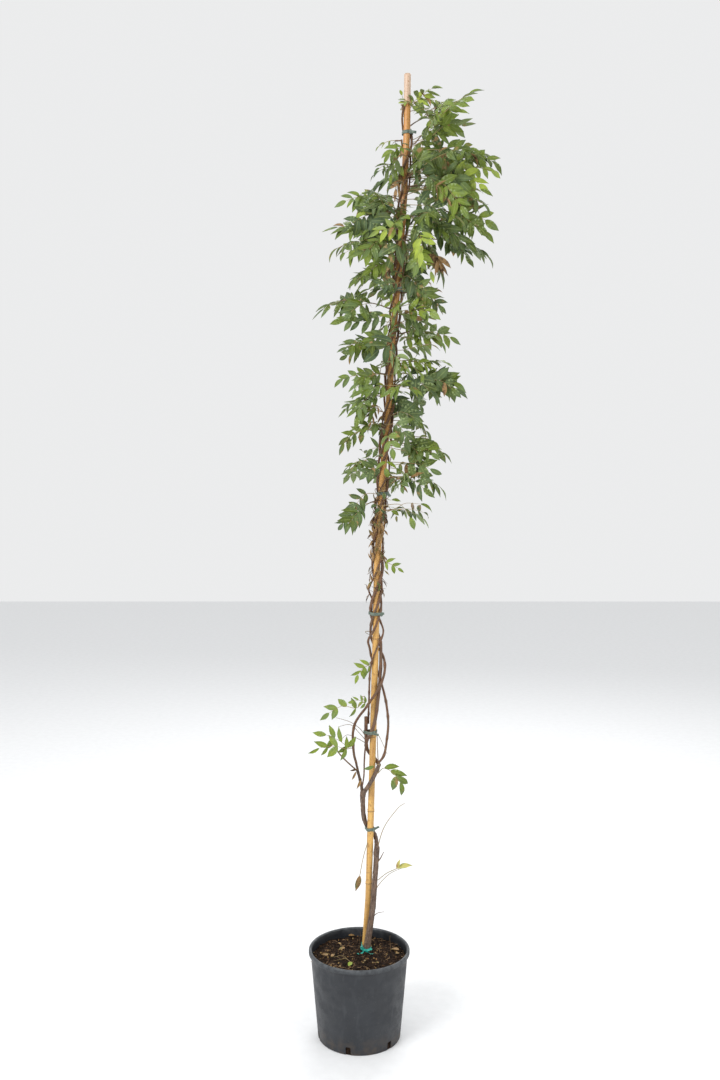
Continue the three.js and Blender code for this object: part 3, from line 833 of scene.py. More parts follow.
def made_cane():
    rings, scars, insides = [], [], []
    for z, radius, scar, inside in cane_rings():
        middle = beside(z)
        ring = []
        for k in range(CANE["sides"]):
            a = 2 * math.pi * k / CANE["sides"]
            uneven = 1 + 0.012 * noise.noise(Vector((math.cos(a), math.sin(a), z * 0.01)))
            ring.append((middle.x + radius * uneven * math.cos(a), middle.y + radius * uneven * math.sin(a), z))
        rings.append(ring)
        scars += [scar] * CANE["sides"]
        insides += [inside] * CANE["sides"]
    floats = {"scar": scars, "inside": insides}
    return solid_piece(
        "bamboo_cane_detail", skin(rings), BAMBOO, "bamboo", "bamboo_cane", EDGE_ANGLE, floats=floats
    )


cane = made_cane()
print("cane:", len(cane.data.polygons), "faces,", len(CANE_RINGS), "nodes")

# %% [markdown]
# ## Bark
# The trunk's bark is grey-brown and ridged, the younger stems are redder and smoother. Ridges
# run along a stem, so the noise is drawn out with the height. The same noise in geometry gives
# the outline its unevenness, and in the material it gives the colour.

# %% Bark
old_finish = Finish("old_bark", (104, 86, 74), 0.88)
old_finish.layers(
    ("streaks", (300.0, 0.14, 0.42, 0.6), (70, 54, 45), 1),
    ("streaks", (620.0, 0.2, 0.56, 0.66), (150, 132, 116), 0.7),
    ("mottle", (60.0, 0.5, 0.64), (122, 98, 78), 0.7),
    ("mottle", (500.0, 0.62, 0.68), (168, 154, 138), 0.6),
)
OLD_BARK = old_finish.done(relief_scale=420.0, depth=0.0012)

young_finish = Finish("young_bark", (104, 74, 50), 0.72)
young_finish.layers(
    ("streaks", (420.0, 0.16, 0.45, 0.62), (78, 50, 38), 1),
    ("streaks", (800.0, 0.25, 0.58, 0.66), (150, 108, 78), 0.7),
    ("mottle", (45.0, 0.48, 0.62), (96, 78, 62), 0.7),
    ("mottle", (700.0, 0.66, 0.7), (186, 160, 130), 0.6),
)
young_finish.mix(young_finish.ramp(young_finish.height(), 1.5, 2.3), (92, 66, 40), 0.5)
YOUNG_BARK = young_finish.done(relief_scale=520.0, depth=0.0008)
print("bark finishes made")

# %% [markdown]
# ### The stem tree
# A stem follows a path, so Geometry Nodes make it: the path's edges become a curve, a circle
# is swept along it with the thickness stored on each point, and the skin is pushed in and out
# by noise that is drawn out upwards, which leaves ridges like those of bark.

# %% The stem tree
def build_stem():
    inputs = [
        ("Geometry", "Geometry", None), ("Sides", "Int", 12), ("Ridge depth", "Float", 0.0008),
        ("Ridges", "Float", 260.0), ("Ridge stretch", "Float", 0.2), ("Finish", "Material", None),
    ]
    tree, given, result = new_tree("Stem", "GeometryNodeTree", inputs, [("Geometry", "Geometry", None)])
    swept = sweep(tree, given["Geometry"], given["Sides"])
    where = drawn_upwards(tree, place(tree, "GeometryNodeInputPosition").outputs[0], given["Ridge stretch"])
    centred = math_of(tree, "SUBTRACT", noise_of(tree, where, given["Ridges"], 2.0), 0.5)
    push = place(tree, "ShaderNodeVectorMath", {
        0: place(tree, "GeometryNodeInputNormal").outputs[0],
        "Scale": math_of(tree, "MULTIPLY", centred, given["Ridge depth"]),
    }, operation="SCALE")
    ridged = place(tree, "GeometryNodeSetPosition", {"Geometry": swept, "Offset": push.outputs[0]})
    real = realized(tree, ridged.outputs[0])
    tree.links.new(painted_with(tree, real, given["Finish"]), result["Geometry"])
    return tree


def sweep(tree, geometry, sides):
    """The nodes that turn edges with a thickness into closed round stems."""
    curve = place(tree, "GeometryNodeMeshToCurve", {"Mesh": geometry})
    circle = place(tree, "GeometryNodeCurvePrimitiveCircle", {"Resolution": sides, "Radius": 1.0})
    tube = place(tree, "GeometryNodeCurveToMesh", {
        "Curve": curve.outputs[0], "Profile Curve": circle.outputs[0],
        "Scale": attribute(tree, "thickness"), "Fill Caps": True,
    })
    return place(tree, "GeometryNodeSetShadeSmooth", {"Geometry": tube.outputs[0]}).outputs[0]


STEM = build_stem()


def path_mesh(name, paths):
    """A piece of bare edges, from paths of x, y, z and radius in millimetres."""
    points, edges, thickness = [], [], []
    for path in paths:
        edges += [(len(points) + k, len(points) + k + 1) for k in range(len(path) - 1)]
        points += [row[:3] for row in path]
        thickness += [MM * row[3] for row in path]
    return new_piece(name, points, edges=edges, floats={"thickness": thickness})


# %% [markdown]
# ### The routes of the stems
# These rows repeat the CAD: a height, an offset beside the cane's axis and a radius. The four
# leaders first go their own way and then twine round the cane in even turns, which is a rule
# and not a drawing: the angle grows with the height, one turn in 210 mm.

# %% The routes of the stems
TRUNK = [
    [150, 3, -22, 8], [204, 4, -21, 9.2], [240, 6, -20, 8.4], [285, 10, -17, 7.8], [335, 13, -14, 7.4],
    [388, 15, -11, 6.8], [435, 17, -7, 6.8], [466, 17.5, -1, 6], [488, 16.5, 6, 5.4], [505, 12, 12.5, 5.2],
    [518, 1, 17.5, 5.3], [534, -12, 13.5, 5.6], [560, -19, 6, 5.8], [600, -22, 3, 6.2], [622, -22, -1, 6.2],
]
KNUCKLE = [[455, 18, -6, 6], [474, 20, -13, 5.2], [482, 21, -16, 4.6]]
RIGHT_LIMB = [
    [612, -22, -1, 5.4], [626, -18, -10, 5.6], [642, -9, -16, 5.4], [662, 2, -17, 5.2], [684, 12, -14, 5],
    [700, 18, -8, 4.8],
]
LEFT_LIMB = [[606, -22, 2, 4.6], [636, -26, 1, 4], [666, -34, 0, 3.6], [700, -42, -1, 3.3]]
CUT_STUB = [[752, -17.5, -2, 3.8], [776, -18.5, -1, 4.4], [820, -19, 0, 4.9]]
CUT_FOOT = [
    [640, -24.5, -9.5, 1.9], [668, -21, -12, 2], [700, -21, -8, 2], [728, -20, -4, 2.1],
    [750, -18, -3, 2.2],
]
TWINE = {"pitch": 210, "start": 1000, "step": 7, "clear": 1.5}
LEADERS = {
    "left_leader": {
        "radius": (3.3, 2.3), "turn": 95, "top": 2344, "bulges": [(1010, 5, 25)],
        "route": [
            (703.5, -43, -1), (722, -48, -2), (752, -51, -3), (777, -52, -4), (804, -47, -7), (826, -35, -11),
            (844, -22, -15), (862, -11, -18), (885, 4, -18), (908, 16, -15), (933, 24, -9), (957, 25, 0),
            (976, 20, 12), (990, 11, 19),
        ],
    },
    "right_leader": {
        "radius": (3.1, 2.2), "turn": 170, "top": 2260, "bulges": [(1022, 8, 22), (1560, 3, 30)],
        "route": [
            (704.5, 19, -7), (722, 30, -4), (764, 36, -2), (804, 38, 0), (852, 32, 4), (888, 23, 9),
            (912, 15, 13), (935, 7, 16), (958, -4, 15), (978, -11, 11),
        ],
    },
    "middle_leader": {
        "radius": (4.4, 2.8), "turn": 10, "top": 2344, "bulges": [],
        "route": [
            (694, 16, 3), (708, 5, 16), (722, -9, 14), (744, -17, 2), (764, -14, -10), (782, -5, -15.5),
            (806, 2, -15.8), (829, 6, -14.8), (868, 10, -12), (908, 13, -6.5), (955, 14.6, -1.5),
        ],
    },
    "thin_leader": {
        "radius": (2.4, 1.9), "turn": 288, "top": 2050,
        "bulges": [(1040, 7, 24), (1150, 8, 22), (1440, 4, 30)],
        "route": [
            (806, -12.8, 5.6), (830, -13, 5.6), (860, -13, 5), (895, -13, 3), (930, -12.6, -1),
            (960, -9.5, -8.8), (980, -4, -12.4),
        ],
    },
}


def leader_rows(leader):
    """A leader's free route and its regular turns, as rows of height, dx, dy and radius."""
    route, top = leader["route"], leader["top"]
    foot, (thick, thin) = route[0][0], leader["radius"]
    rows = [[z, dx, dy, thick + (z - foot) / (top - foot) * (thin - thick)] for z, dx, dy in smooth(route, 3)]
    z = TWINE["start"]
    while z <= top:
        radius = thick + (z - foot) / (top - foot) * (thin - thick)
        swell = sum(by * math.exp(-(((z - at) / reach) ** 2)) for at, by, reach in leader["bulges"])
        out = CANE["radius"] + TWINE["clear"] + radius + swell
        angle = math.radians(leader["turn"] + (z - TWINE["start"]) / TWINE["pitch"] * 360)
        rows.append([z, out * math.cos(angle), out * math.sin(angle), radius])
        z += TWINE["step"]
    return rows


def path_of(rows, steps=3):
    """A smooth path through rows beside the cane, as x, y, z and radius."""
    placed = [[*beside(z, dx, dy), radius] for z, dx, dy, radius in rows]
    return smooth(placed, steps)


def rooted(path, back=6.0):
    """Starts a path a little earlier, so that it grows out of the stem it leaves."""
    first, second = Vector(path[0][:3]), Vector(path[2][:3])
    start = first - (second - first).normalized() * back
    return [[*start, path[0][3]], *path]


ROWS = {name: leader_rows(leader) for name, leader in LEADERS.items()}
ROWS.update(trunk=TRUNK, right_limb=RIGHT_LIMB, left_limb=LEFT_LIMB, cut_stub=CUT_STUB)
print("stems:", {name: len(rows) for name, rows in ROWS.items()})

# %% [markdown]
# ### The trunk
# The trunk, its two limbs and the cut knuckle are swept separately. Where they cross we want
# one skin with soft crotches, as wood grows. A voxel remesh melts closed shapes into one, and
# a Smooth modifier takes off the steps it leaves. The ridges come after it, because the
# remesh would wipe them out.

# %% The trunk
def add_ridges(piece, depth, scale, stretch, seed):
    """Pushes each point along its normal by noise that is drawn out upwards. Depth in mm."""
    normals = [normal.vector.copy() for normal in piece.data.vertex_normals]
    for vertex, normal in zip(piece.data.vertices, normals):
        at = Vector((vertex.co.x, vertex.co.y, vertex.co.z * stretch)) * scale + Vector((seed, 0, 0))
        push = noise.noise(at) + 0.5 * noise.noise(at * 2.3)
        vertex.co += normal * (MM * depth * push)


def swollen(path, swellings):
    """Thickens a path near some heights: each swelling is a height, an amount and a reach."""
    out = []
    for x, y, z, radius in path:
        more = sum(by * math.exp(-(((z - at) / reach) ** 2)) for at, by, reach in swellings)
        out.append([x, y, z, radius + more])
    return out


trunk_paths = [
    swollen(path_of(TRUNK, 8), [(207, 1.6, 12), (462, 1.4, 12), (616, 1.2, 10), (330, 0.5, 9), (552, 0.5, 8)]),
    path_of(KNUCKLE, 6),
    path_of(RIGHT_LIMB, 6),
    path_of(LEFT_LIMB, 6),
]
trunk = path_mesh("trunk_bark", trunk_paths)
run_tree(trunk, STEM, {"Sides": 20, "Ridge depth": 0.0, "Finish": OLD_BARK})
melt = trunk.modifiers.new("melt", "REMESH")
melt.mode, melt.voxel_size = "VOXEL", 0.0011
ease = trunk.modifiers.new("ease", "SMOOTH")
ease.factor, ease.iterations = 0.6, 6
keep_result(trunk)
add_ridges(trunk, 0.9, 420, 0.16, 3.0)
add_ridges(trunk, 0.5, 900, 0.3, 9.0)
shade(trunk)
trunk.data.materials.clear()
trunk.data.materials.append(OLD_BARK)
finish_piece(trunk, "old_bark", "trunk")
print("trunk:", len(trunk.data.polygons), "faces")

# %% [markdown]
# ### The leaders
# Each leader has a swollen joint every few centimetres, where a leaf once stood. The swelling
# is part of the path's thickness, and the places come from a seeded random row.

# %% The leaders
def joints(bottom, top, seed, spacing=52, by=0.9, reach=4.5):
    """Seeded heights for the swollen joints of a stem."""
    rand = random.Random(seed)
    out, z = [], bottom + rand.uniform(10, spacing)
    while z < top:
        out.append((z, by * rand.uniform(0.5, 1.3), reach * rand.uniform(0.8, 1.5)))
        z += spacing * rand.uniform(0.7, 1.3)
    return out


for seed, name in enumerate(LEADERS):
    path = swollen(rooted(path_of(ROWS[name], 2)), joints(ROWS[name][0][0], LEADERS[name]["top"], seed))
    paths = [path]
    if name == "middle_leader":
        paths += [path_of(CUT_STUB, 5), path_of(CUT_FOOT, 5)]
    piece = path_mesh(name + "_bark", paths)
    run_tree(piece, STEM, {
        "Sides": 12, "Ridge depth": 0.0011, "Ridges": 420.0, "Ridge stretch": 0.25, "Finish": YOUNG_BARK,
    })
    finish_piece(piece, "young_bark", name)
    print(name, len(piece.data.polygons), "faces")

# %% [markdown]
# ## Ties
# Grey-green plastic strips hold the stems to the cane. A strip pulled tight round some rods
# takes the shape of a convex outline, so we put points round every rod and keep the outermost
# ones. Each strip ends in a knot and a short free tail.

# %% Strips and outlines
tie_finish = Finish("tie_strip", (98, 110, 98), 0.55)
tie_finish.layers(
    ("mottle", (120.0,), (74, 88, 78), 1),
    ("mottle", (420.0, 0.6, 0.68), (134, 144, 128), 0.6),
)
TIE_STRIP = tie_finish.done(relief_scale=1200.0, depth=0.0002)


def tight_outline(circles, extra, samples=40):
    """The outline that a cord pulled tight round some circles would take, anticlockwise."""
    angles = [2 * math.pi * k / samples for k in range(samples)]
    points = sorted(
        (x + (r + extra) * math.cos(a), y + (r + extra) * math.sin(a)) for x, y, r in circles for a in angles
    )

    def turns_right(a, b, c):
        return (b[0] - a[0]) * (c[1] - a[1]) <= (b[1] - a[1]) * (c[0] - a[0])

    def half(row):
        kept = []
        for p in row:
            while len(kept) > 1 and turns_right(kept[-2], kept[-1], p):
                kept.pop()
            kept.append(p)
        return kept[:-1]

    return half(points) + half(points[::-1])


def evenly(loop, count):
    """Points at equal distances round a closed outline."""
    sides = [(a, b, math.dist(a, b)) for a, b in zip(loop, loop[1:] + loop[:1])]
    total = sum(length for *_, length in sides)
    out = []
    for k in range(count):
        left = total * k / count
        for a, b, length in sides:
            if left <= length:
                share = left / length if length else 0
                out.append([x + share * (y - x) for x, y in zip(a, b)])
                break
            left -= length
    return out


def strip(path, ups, width, thickness, closed=False):
    """Points and faces of a flat strip with softened edges along a path, in millimetres."""
    half, flat = width / 2, thickness / 2
    inner = half - flat
    section = [(half, 0), (inner, flat), (-inner, flat), (-half, 0), (-inner, -flat), (inner, -flat)]
    count, rings = len(path), []
    for i, (place_, up) in enumerate(zip(path, ups)):
        before = path[(i - 1) % count if closed else max(i - 1, 0)]
        after = path[(i + 1) % count if closed else min(i + 1, count - 1)]
        ahead = (Vector(after) - Vector(before)).normalized()
        across = (Vector(up) - ahead * ahead.dot(Vector(up))).normalized()
        above = ahead.cross(across)
        rings.append([tuple(Vector(place_) + across * a + above * b) for a, b in section])
    points, faces = skin(rings, closed_ends=not closed)
    if closed:
        last = (count - 1) * len(section)
        for j in range(len(section)):
            n = (j + 1) % len(section)
            faces.append((last + j, last + n, n, j))
    return points, faces


def joined(parts):
    """Puts several lists of points and faces together."""
    points, faces = [], []
    for some_points, some_faces in parts:
        faces += [tuple(len(points) + i for i in face) for face in some_faces]
        points += some_points
    return points, faces


# %% The ties
TIES = [
    (524, ["trunk"], 0.10, (15, 9)),
    (781, ["middle_leader", "cut_stub"], 0.05, (13, -4)),
    (1087, list(LEADERS), -0.04, (7, 3)),
    (1392, list(LEADERS), 0.03, (8, -6)),
    (1896, list(LEADERS), -0.03, (8, 3)),
    (2276, ["left_leader", "middle_leader"], 0.0, (15, -3)),
]
TIE = {"height": 8, "thickness": 1.3, "clearance": 1.2}


def held_circles(z, names):
    """The cane's and some stems' sections at the foot, middle and head of a tie."""
    circles = []
    for height in (z - 4, z, z + 4):
        spot = beside(height)
        circles.append((spot.x, spot.y, CANE["radius"] + 0.3))
        for name in names:
            _, dx, dy, radius = between(ROWS[name], height)
            spot = beside(height, dx, dy)
            circles.append((spot.x, spot.y, radius + 0.4))
    return circles


def tail(start, reach, rise, width, thickness, curl):
    """A free end: a short strip that leaves the band to the right and droops or curls."""
    path = []
    for k in range(8):
        t = k / 7
        y = start[1] - 2.5 * math.sin(math.pi * t) - curl * t * t
        path.append((start[0] + reach * t, y, start[2] + rise * t * (1.4 - 0.4 * t)))
    ups = [(0.25 * math.sin(2 * k / 7), -0.35 * k / 7, 1) for k in range(8)]
    return strip(path, ups, width, thickness)


def made_tie(number, z, names, tilt, free_end):
    outline = evenly(tight_outline(held_circles(z, names), TIE["clearance"]), 56)
    centre_x = sum(x for x, _ in outline) / len(outline)
    path = [(x, y, z + tilt * (x - centre_x) + 0.4 * math.sin(0.4 * k)) for k, (x, y) in enumerate(outline)]
    parts = [strip(path, [(0, 0, 1)] * len(path), TIE["height"], TIE["thickness"], closed=True)]
    x, y, z = max(path, key=lambda p: p[0] - 0.9 * p[1])
    lines = [(x - 1, y - 1.6, z - 4.4), (x + 1.6, y - 3, z), (x, y - 1.4, z + 4.6)]
    knot = strip(lines, [(1, -0.3, 0)] * 3, 6.5, 2.2)
    parts += [knot, tail((x, y - 1.4, z), *free_end, 6.4, 1.1, 4)]
    solid_piece(f"tie_{number}_strip", joined(parts), TIE_STRIP, "tie_band", f"tie_{number}", EDGE_ANGLE)


for number, (z, names, tilt, free_end) in enumerate(TIES, 1):
    made_tie(number, z, names, tilt, free_end)
print(len(TIES), "ties")

# %% [markdown]
# ## The ribbon at the foot
# A soft turquoise ribbon is knotted round the cane and the trunk just above the mix. A flat
# strip that turns about its own line reads as ribbon, so its up direction rolls along the way.

# %% The ribbon
ribbon_finish = Finish("turquoise_ribbon", (38, 168, 150), 0.42)
ribbon_finish.layers(
    ("mottle", (180.0,), (24, 140, 128), 1),
    ("mottle", (90.0, 0.55, 0.66), (136, 214, 200), 0.7),
)
TURQUOISE = ribbon_finish.done(relief_scale=1400.0, depth=0.00015)
RIBBON_Z = 214


def rolled(path, start, end):
    """Up directions that roll from one angle to another, in degrees, about the way ahead."""
    out = []
    for k in range(len(path)):
        a = math.radians(start + (end - start) * k / (len(path) - 1))
        out.append((0.3 * math.sin(a), math.sin(a), math.cos(a)))
    return out


def made_ribbon():
    outline = evenly(tight_outline(held_circles(RIBBON_Z, ["trunk"]), 1.0), 60)
    path = [(x, y, RIBBON_Z + 1.6 * math.sin(0.25 * k)) for k, (x, y) in enumerate(outline)]
    parts = [strip(path, [(0, 0, 1)] * len(path), 6, 1.1, closed=True)]
    front = min(path, key=lambda p: p[1] + 0.5 * p[0])
    x, y, z = front[0], front[1] - 2, front[2]

    def around_knot(steps, *offsets):
        return smooth([(x + dx, y + dy, z + dz) for dx, dy, dz in offsets], steps)

    for start, end, *offsets in (
        (-20, 170, (0, 0, 0), (-8, -6, 7), (-10, -5, 13), (-4, -4, 11), (1, -1, 2)),
        (10, 200, (0, 0, 0), (9, -6, 4), (17, -4, 5), (17, -2, 2), (9, -2, 0), (1, 0, 0)),
        (0, 110, (0, 0, 0), (-5, -7, -3), (-12, -9, -5), (-19, -12, -3)),
        (20, -120, (0, 0, 0), (8, -8, -1), (15, -9, -5), (24, -12, -4)),
    ):
        row = around_knot(5, *offsets)
        parts.append(strip(row, rolled(row, start, end), 5.4, 0.8))
    knot = around_knot(4, (-3, 1, -3), (-3.4, -3, 1), (0.5, -4.4, 3), (3.6, -3, 0), (2.4, 1, -3))
    parts.append(strip(knot, rolled(knot, 0, 50), 5, 2))
    return solid_piece(
        "knotted_ribbon", joined(parts), TURQUOISE, "turquoise_ribbon", "base_ribbon", EDGE_ANGLE
    )


ribbon = made_ribbon()
print("ribbon:", len(ribbon.data.polygons), "faces")

# %% [markdown]
# ## Leaves
# The leaves are pinnate: leaflets in pairs along a thin midrib, with one at the end. One
# leaflet is a closed thin solid with about thirty faces, because there will be thousands. Six
# shapes, from flat to folded and drooping, keep the crown from looking stamped out. Three
# attributes travel with each leaflet: `across` is 0 on its midrib and 1 on its edge, `along`
# runs from stalk to tip, and `under` marks the paler lower face.

# %% The finish of the leaves
def leaf_material(name):
    leaf = Finish(name, (18, 27, 3), 0.48)
    leaf.shader.inputs["Specular IOR Level"].default_value = 0.25
    tint = leaf.math("ADD", leaf.attribute("tint"), leaf.ramp(leaf.mottle(160.0), 0.0, 1.0, -0.06, 0.06))
    leaf.mix(leaf.ramp(tint, 0.0, 0.5), (102, 120, 38))
    leaf.mix(leaf.ramp(tint, 0.5, 1.0), (156, 172, 66))
    leaf.mix(leaf.ramp(tint, 0.2, 0.0), (78, 98, 66), 0.6)
    leaf.mix(leaf.ramp(tint, 1.15, 1.3), (184, 176, 98))
    leaf.mix(leaf.mottle(22.0, 0.45, 0.6), (94, 114, 80), 0.55)
    leaf.mix(leaf.attribute("under"), (134, 150, 100), 0.75)
    across, along = leaf.attribute("across"), leaf.attribute("along")
    slanted = leaf.math("SUBTRACT", leaf.math("MULTIPLY", along, 9.0), leaf.math("MULTIPLY", across, 1.5))
    veins = leaf.math("FRACT", slanted)
    vein = leaf.ramp(leaf.math("ABSOLUTE", leaf.math("SUBTRACT", veins, 0.5)), 0.12, 0.0)
    leaf.mix(vein, (140, 158, 96), 0.1)
    midrib = leaf.ramp(across, 0.16, 0.02)
    leaf.mix(midrib, (158, 170, 104), 0.32)
    margin = leaf.ramp(leaf.math("ADD", across, leaf.mottle(120.0, 0.5, 0.75)), 1.35, 1.7)
    tip = leaf.ramp(leaf.math("ADD", along, leaf.mottle(60.0, 0.55, 0.8)), 1.5, 1.75)
    leaf.mix(margin, (150, 128, 74), 0.55)
    leaf.mix(tip, (98, 74, 48), 0.8)
    dry = leaf.attribute("dry")
    leaf.mix(leaf.ramp(leaf.math("ADD", dry, leaf.mottle(50.0, 0.3, 0.7)), 1.0, 1.3), (144, 114, 74))
    leaf.mix(leaf.ramp(leaf.math("ADD", dry, leaf.mottle(90.0, 0.3, 0.7)), 1.45, 1.75), (62, 44, 32), 0.9)
    relief = leaf.math("ADD", leaf.math("MULTIPLY", vein, 0.5), leaf.math("MULTIPLY", midrib, -0.6))
    return leaf.done(relief_scale=500.0, depth=0.0004, height=relief)


LEAF = leaf_material("wisteria_leaf")
stalk_finish = Finish("leaf_stalk", (142, 132, 82), 0.6)
stalk_finish.mix(stalk_finish.mottle(60.0, 0.4, 0.62), (164, 128, 88), 0.7)
stalk_finish.mix(stalk_finish.attribute("wood"), (104, 78, 54))
stalk_finish.mix(stalk_finish.mottle(260.0, 0.6, 0.68), (84, 60, 44), 0.5)
STALK = stalk_finish.done(relief_scale=1400.0, depth=0.0002)

# %% The leaflet shapes
LEAFLET_OUTLINE = [
    (0, 0.06), (0.07, 0.46), (0.2, 0.82), (0.38, 1), (0.56, 0.92), (0.72, 0.66), (0.86, 0.31), (1, 0.03),
]


def leaflet(name, broad, fold, droop, twist, wave, collection):
    """One leaflet, a metre long towards +Y with its upper face to +Z. Angles are in degrees."""
    fold, droop, twist = math.radians(fold), math.radians(droop) or 1e-6, math.radians(twist)
    rings = []
    for t, share in LEAFLET_OUTLINE:
        half, bent, roll = broad * share, droop * t, twist * t
        middle = Vector((0, math.sin(bent) / droop, -(1 - math.cos(bent)) / droop))
        up = Vector((0, math.sin(bent), math.cos(bent)))
        side = Vector((1, 0, 0)) * math.cos(roll) + up * math.sin(roll)
        up = up * math.cos(roll) - Vector((1, 0, 0)) * math.sin(roll)
        thick = 0.006 + 0.006 * share
        ripple = wave * math.sin(9 * t)
        rings.append([
            tuple(middle + up * thick),
            tuple(middle + side * half * math.cos(fold) + up * half * (math.sin(fold) + ripple)),
            tuple(middle - up * thick),
            tuple(middle - side * half * math.cos(fold) + up * half * (math.sin(fold) - ripple)),
        ])
    points, faces = skin(rings)
    shape = stored_shape(name, points, faces, collection)
    mesh, rows = shape.data, len(rings)
    mesh.shade_smooth()
    mesh.attributes.new("across", "FLOAT", "POINT").data.foreach_set("value", [0.0, 1.0, 0.0, 1.0] * rows)
    mesh.attributes.new("along", "FLOAT", "POINT").data.foreach_set(
        "value", [t for t, _ in LEAFLET_OUTLINE for _ in range(4)]
    )
    under = [1.0 if k % 4 in (1, 2) else 0.0 for k in range(4 * (rows - 1))] + [0.0, 0.0]
    mesh.attributes.new("under", "FLOAT", "FACE").data.foreach_set("value", under)
    for edge in mesh.edges:
        a, b = edge.vertices
        edge.use_edge_sharp = a % 2 == 1 and b % 2 == 1 and a % 4 == b % 4
    return shape


LEAFLET_SHAPES = [
    (0.2, 6, 10, 0, 0.05), (0.19, 24, 20, 12, 0.08), (0.215, 12, 34, -16, 0.1),
    (0.165, 38, 24, 24, 0.06), (0.2, -8, 14, -22, 0.12), (0.18, 18, 56, 8, 0.05),
]


def leaflet_collection():
    shapes = bpy.data.collections.new("leaflets")
    for k, (broad, fold, droop, twist, wave) in enumerate(LEAFLET_SHAPES):
        leaflet(f"leaflet_{k}", broad, fold, droop, twist, wave, shapes)
    return shapes


# %% [markdown]
# ### The tree that makes a leafy shoot
# A shoot is planned as bare edges and loose points: edges for the twig and the midribs, and a
# point for each leaflet with its turn, size and shape. The tree sweeps the edges into stalks,
# puts a leaflet on each loose point, gives it a small seeded wobble and realizes the lot.

# %% The tree that makes a leafy shoot
def build_shoot():
    inputs = [
        ("Geometry", "Geometry", None), ("Leaflets", "Collection", None), ("Stalk sides", "Int", 5),
        ("Size", "Float", 1.0), ("Wobble", "Float", 0.16), ("Seed", "Int", 1), ("Leaf", "Material", None),
        ("Stalk", "Material", None),
    ]
    tree, given, result = new_tree("Leafy shoot", "GeometryNodeTree", inputs, [("Geometry", "Geometry", None)])
    stalks = painted_with(tree, sweep(tree, given["Geometry"], given["Stalk sides"]), given["Stalk"])
    low = math_of(tree, "MULTIPLY", given["Wobble"], -1.0)
    wobble = random_vector(
        tree, vector_of(tree, low, low, low), vector_of(tree, *[given["Wobble"]] * 3), given["Seed"]
    )
    turn = place(tree, "FunctionNodeRotateRotation", {
        0: as_rotation(tree, attribute(tree, "turn", "FLOAT_VECTOR")), 1: as_rotation(tree, wobble),
    }, rotation_space="LOCAL")
    length = math_of(tree, "MULTIPLY", attribute(tree, "size"), given["Size"])
    width = math_of(tree, "MULTIPLY", length, attribute(tree, "broad"))
    leaflets = place(tree, "GeometryNodeInstanceOnPoints", {
        "Points": given["Geometry"],
        "Selection": math_of(tree, "GREATER_THAN", attribute(tree, "leaflet"), 0.5),
        "Instance": picked_shapes(tree, given["Leaflets"]), "Pick Instance": True,
        "Instance Index": attribute(tree, "shape"),
        "Rotation": turn.outputs[0], "Scale": vector_of(tree, width, length, length),
    })
    both = place(tree, "GeometryNodeJoinGeometry", {0: stalks})
    tree.links.new(painted_with(tree, leaflets.outputs[0], given["Leaf"]), both.inputs[0])
    tree.links.new(realized(tree, both.outputs[0]), result["Geometry"])
    return tree


SHOOT = build_shoot()

# %% [markdown]
# ### Planning a leaf
# `bend` gives the place on the arc of a twig that sinks under its own weight. Leaflets stand off
# a midrib at a wide angle near the stalk and a narrow one near the tip, hang a little, and turn
# their upper side to the light. A `Plan` collects paths and leaflets until it is grown into one
# piece. `facing_way` rolls a leaf about its own midrib: at 0 degrees it shows its upper side to
# the front, at 60 it lies nearly flat, and past 100 the front sees its paler underside.

# %% Planning a leaf
def bend(start, heading, first, last, length, along):
    """A place at a distance along an arc in one upright plane."""
    change = (last - first) / length
    rise = first + change * along
    out = (math.sin(rise) - math.sin(first)) / change
    up = -(math.cos(rise) - math.cos(first)) / change
    return start + Vector((math.cos(heading) * out, math.sin(heading) * out, up))


def facing_way(roll):
    def upper_side(ahead):
        front = Vector((0, -1, -0.1))
        front = (front - ahead * front.dot(ahead)).normalized()
        up = ahead.cross(front)
        up = up if up.z > 0 else -up
        return front * math.cos(math.radians(roll)) + up * math.sin(math.radians(roll))
    return upper_side


def along_line(points, shares):
    """Places and ways ahead at shares of the length of a line of points."""
    steps = [(b - a).length for a, b in zip(points, points[1:])]
    total, out = sum(steps), []
    for share in shares:
        left, i = share * total, 0
        while i < len(steps) - 1 and left > steps[i]:
            left -= steps[i]
            i += 1
        spot = points[i].lerp(points[i + 1], min(1.0, left / steps[i]))
        out.append((spot, (points[min(i + 2, len(points) - 1)] - points[max(i - 1, 0)]).normalized()))
    return out


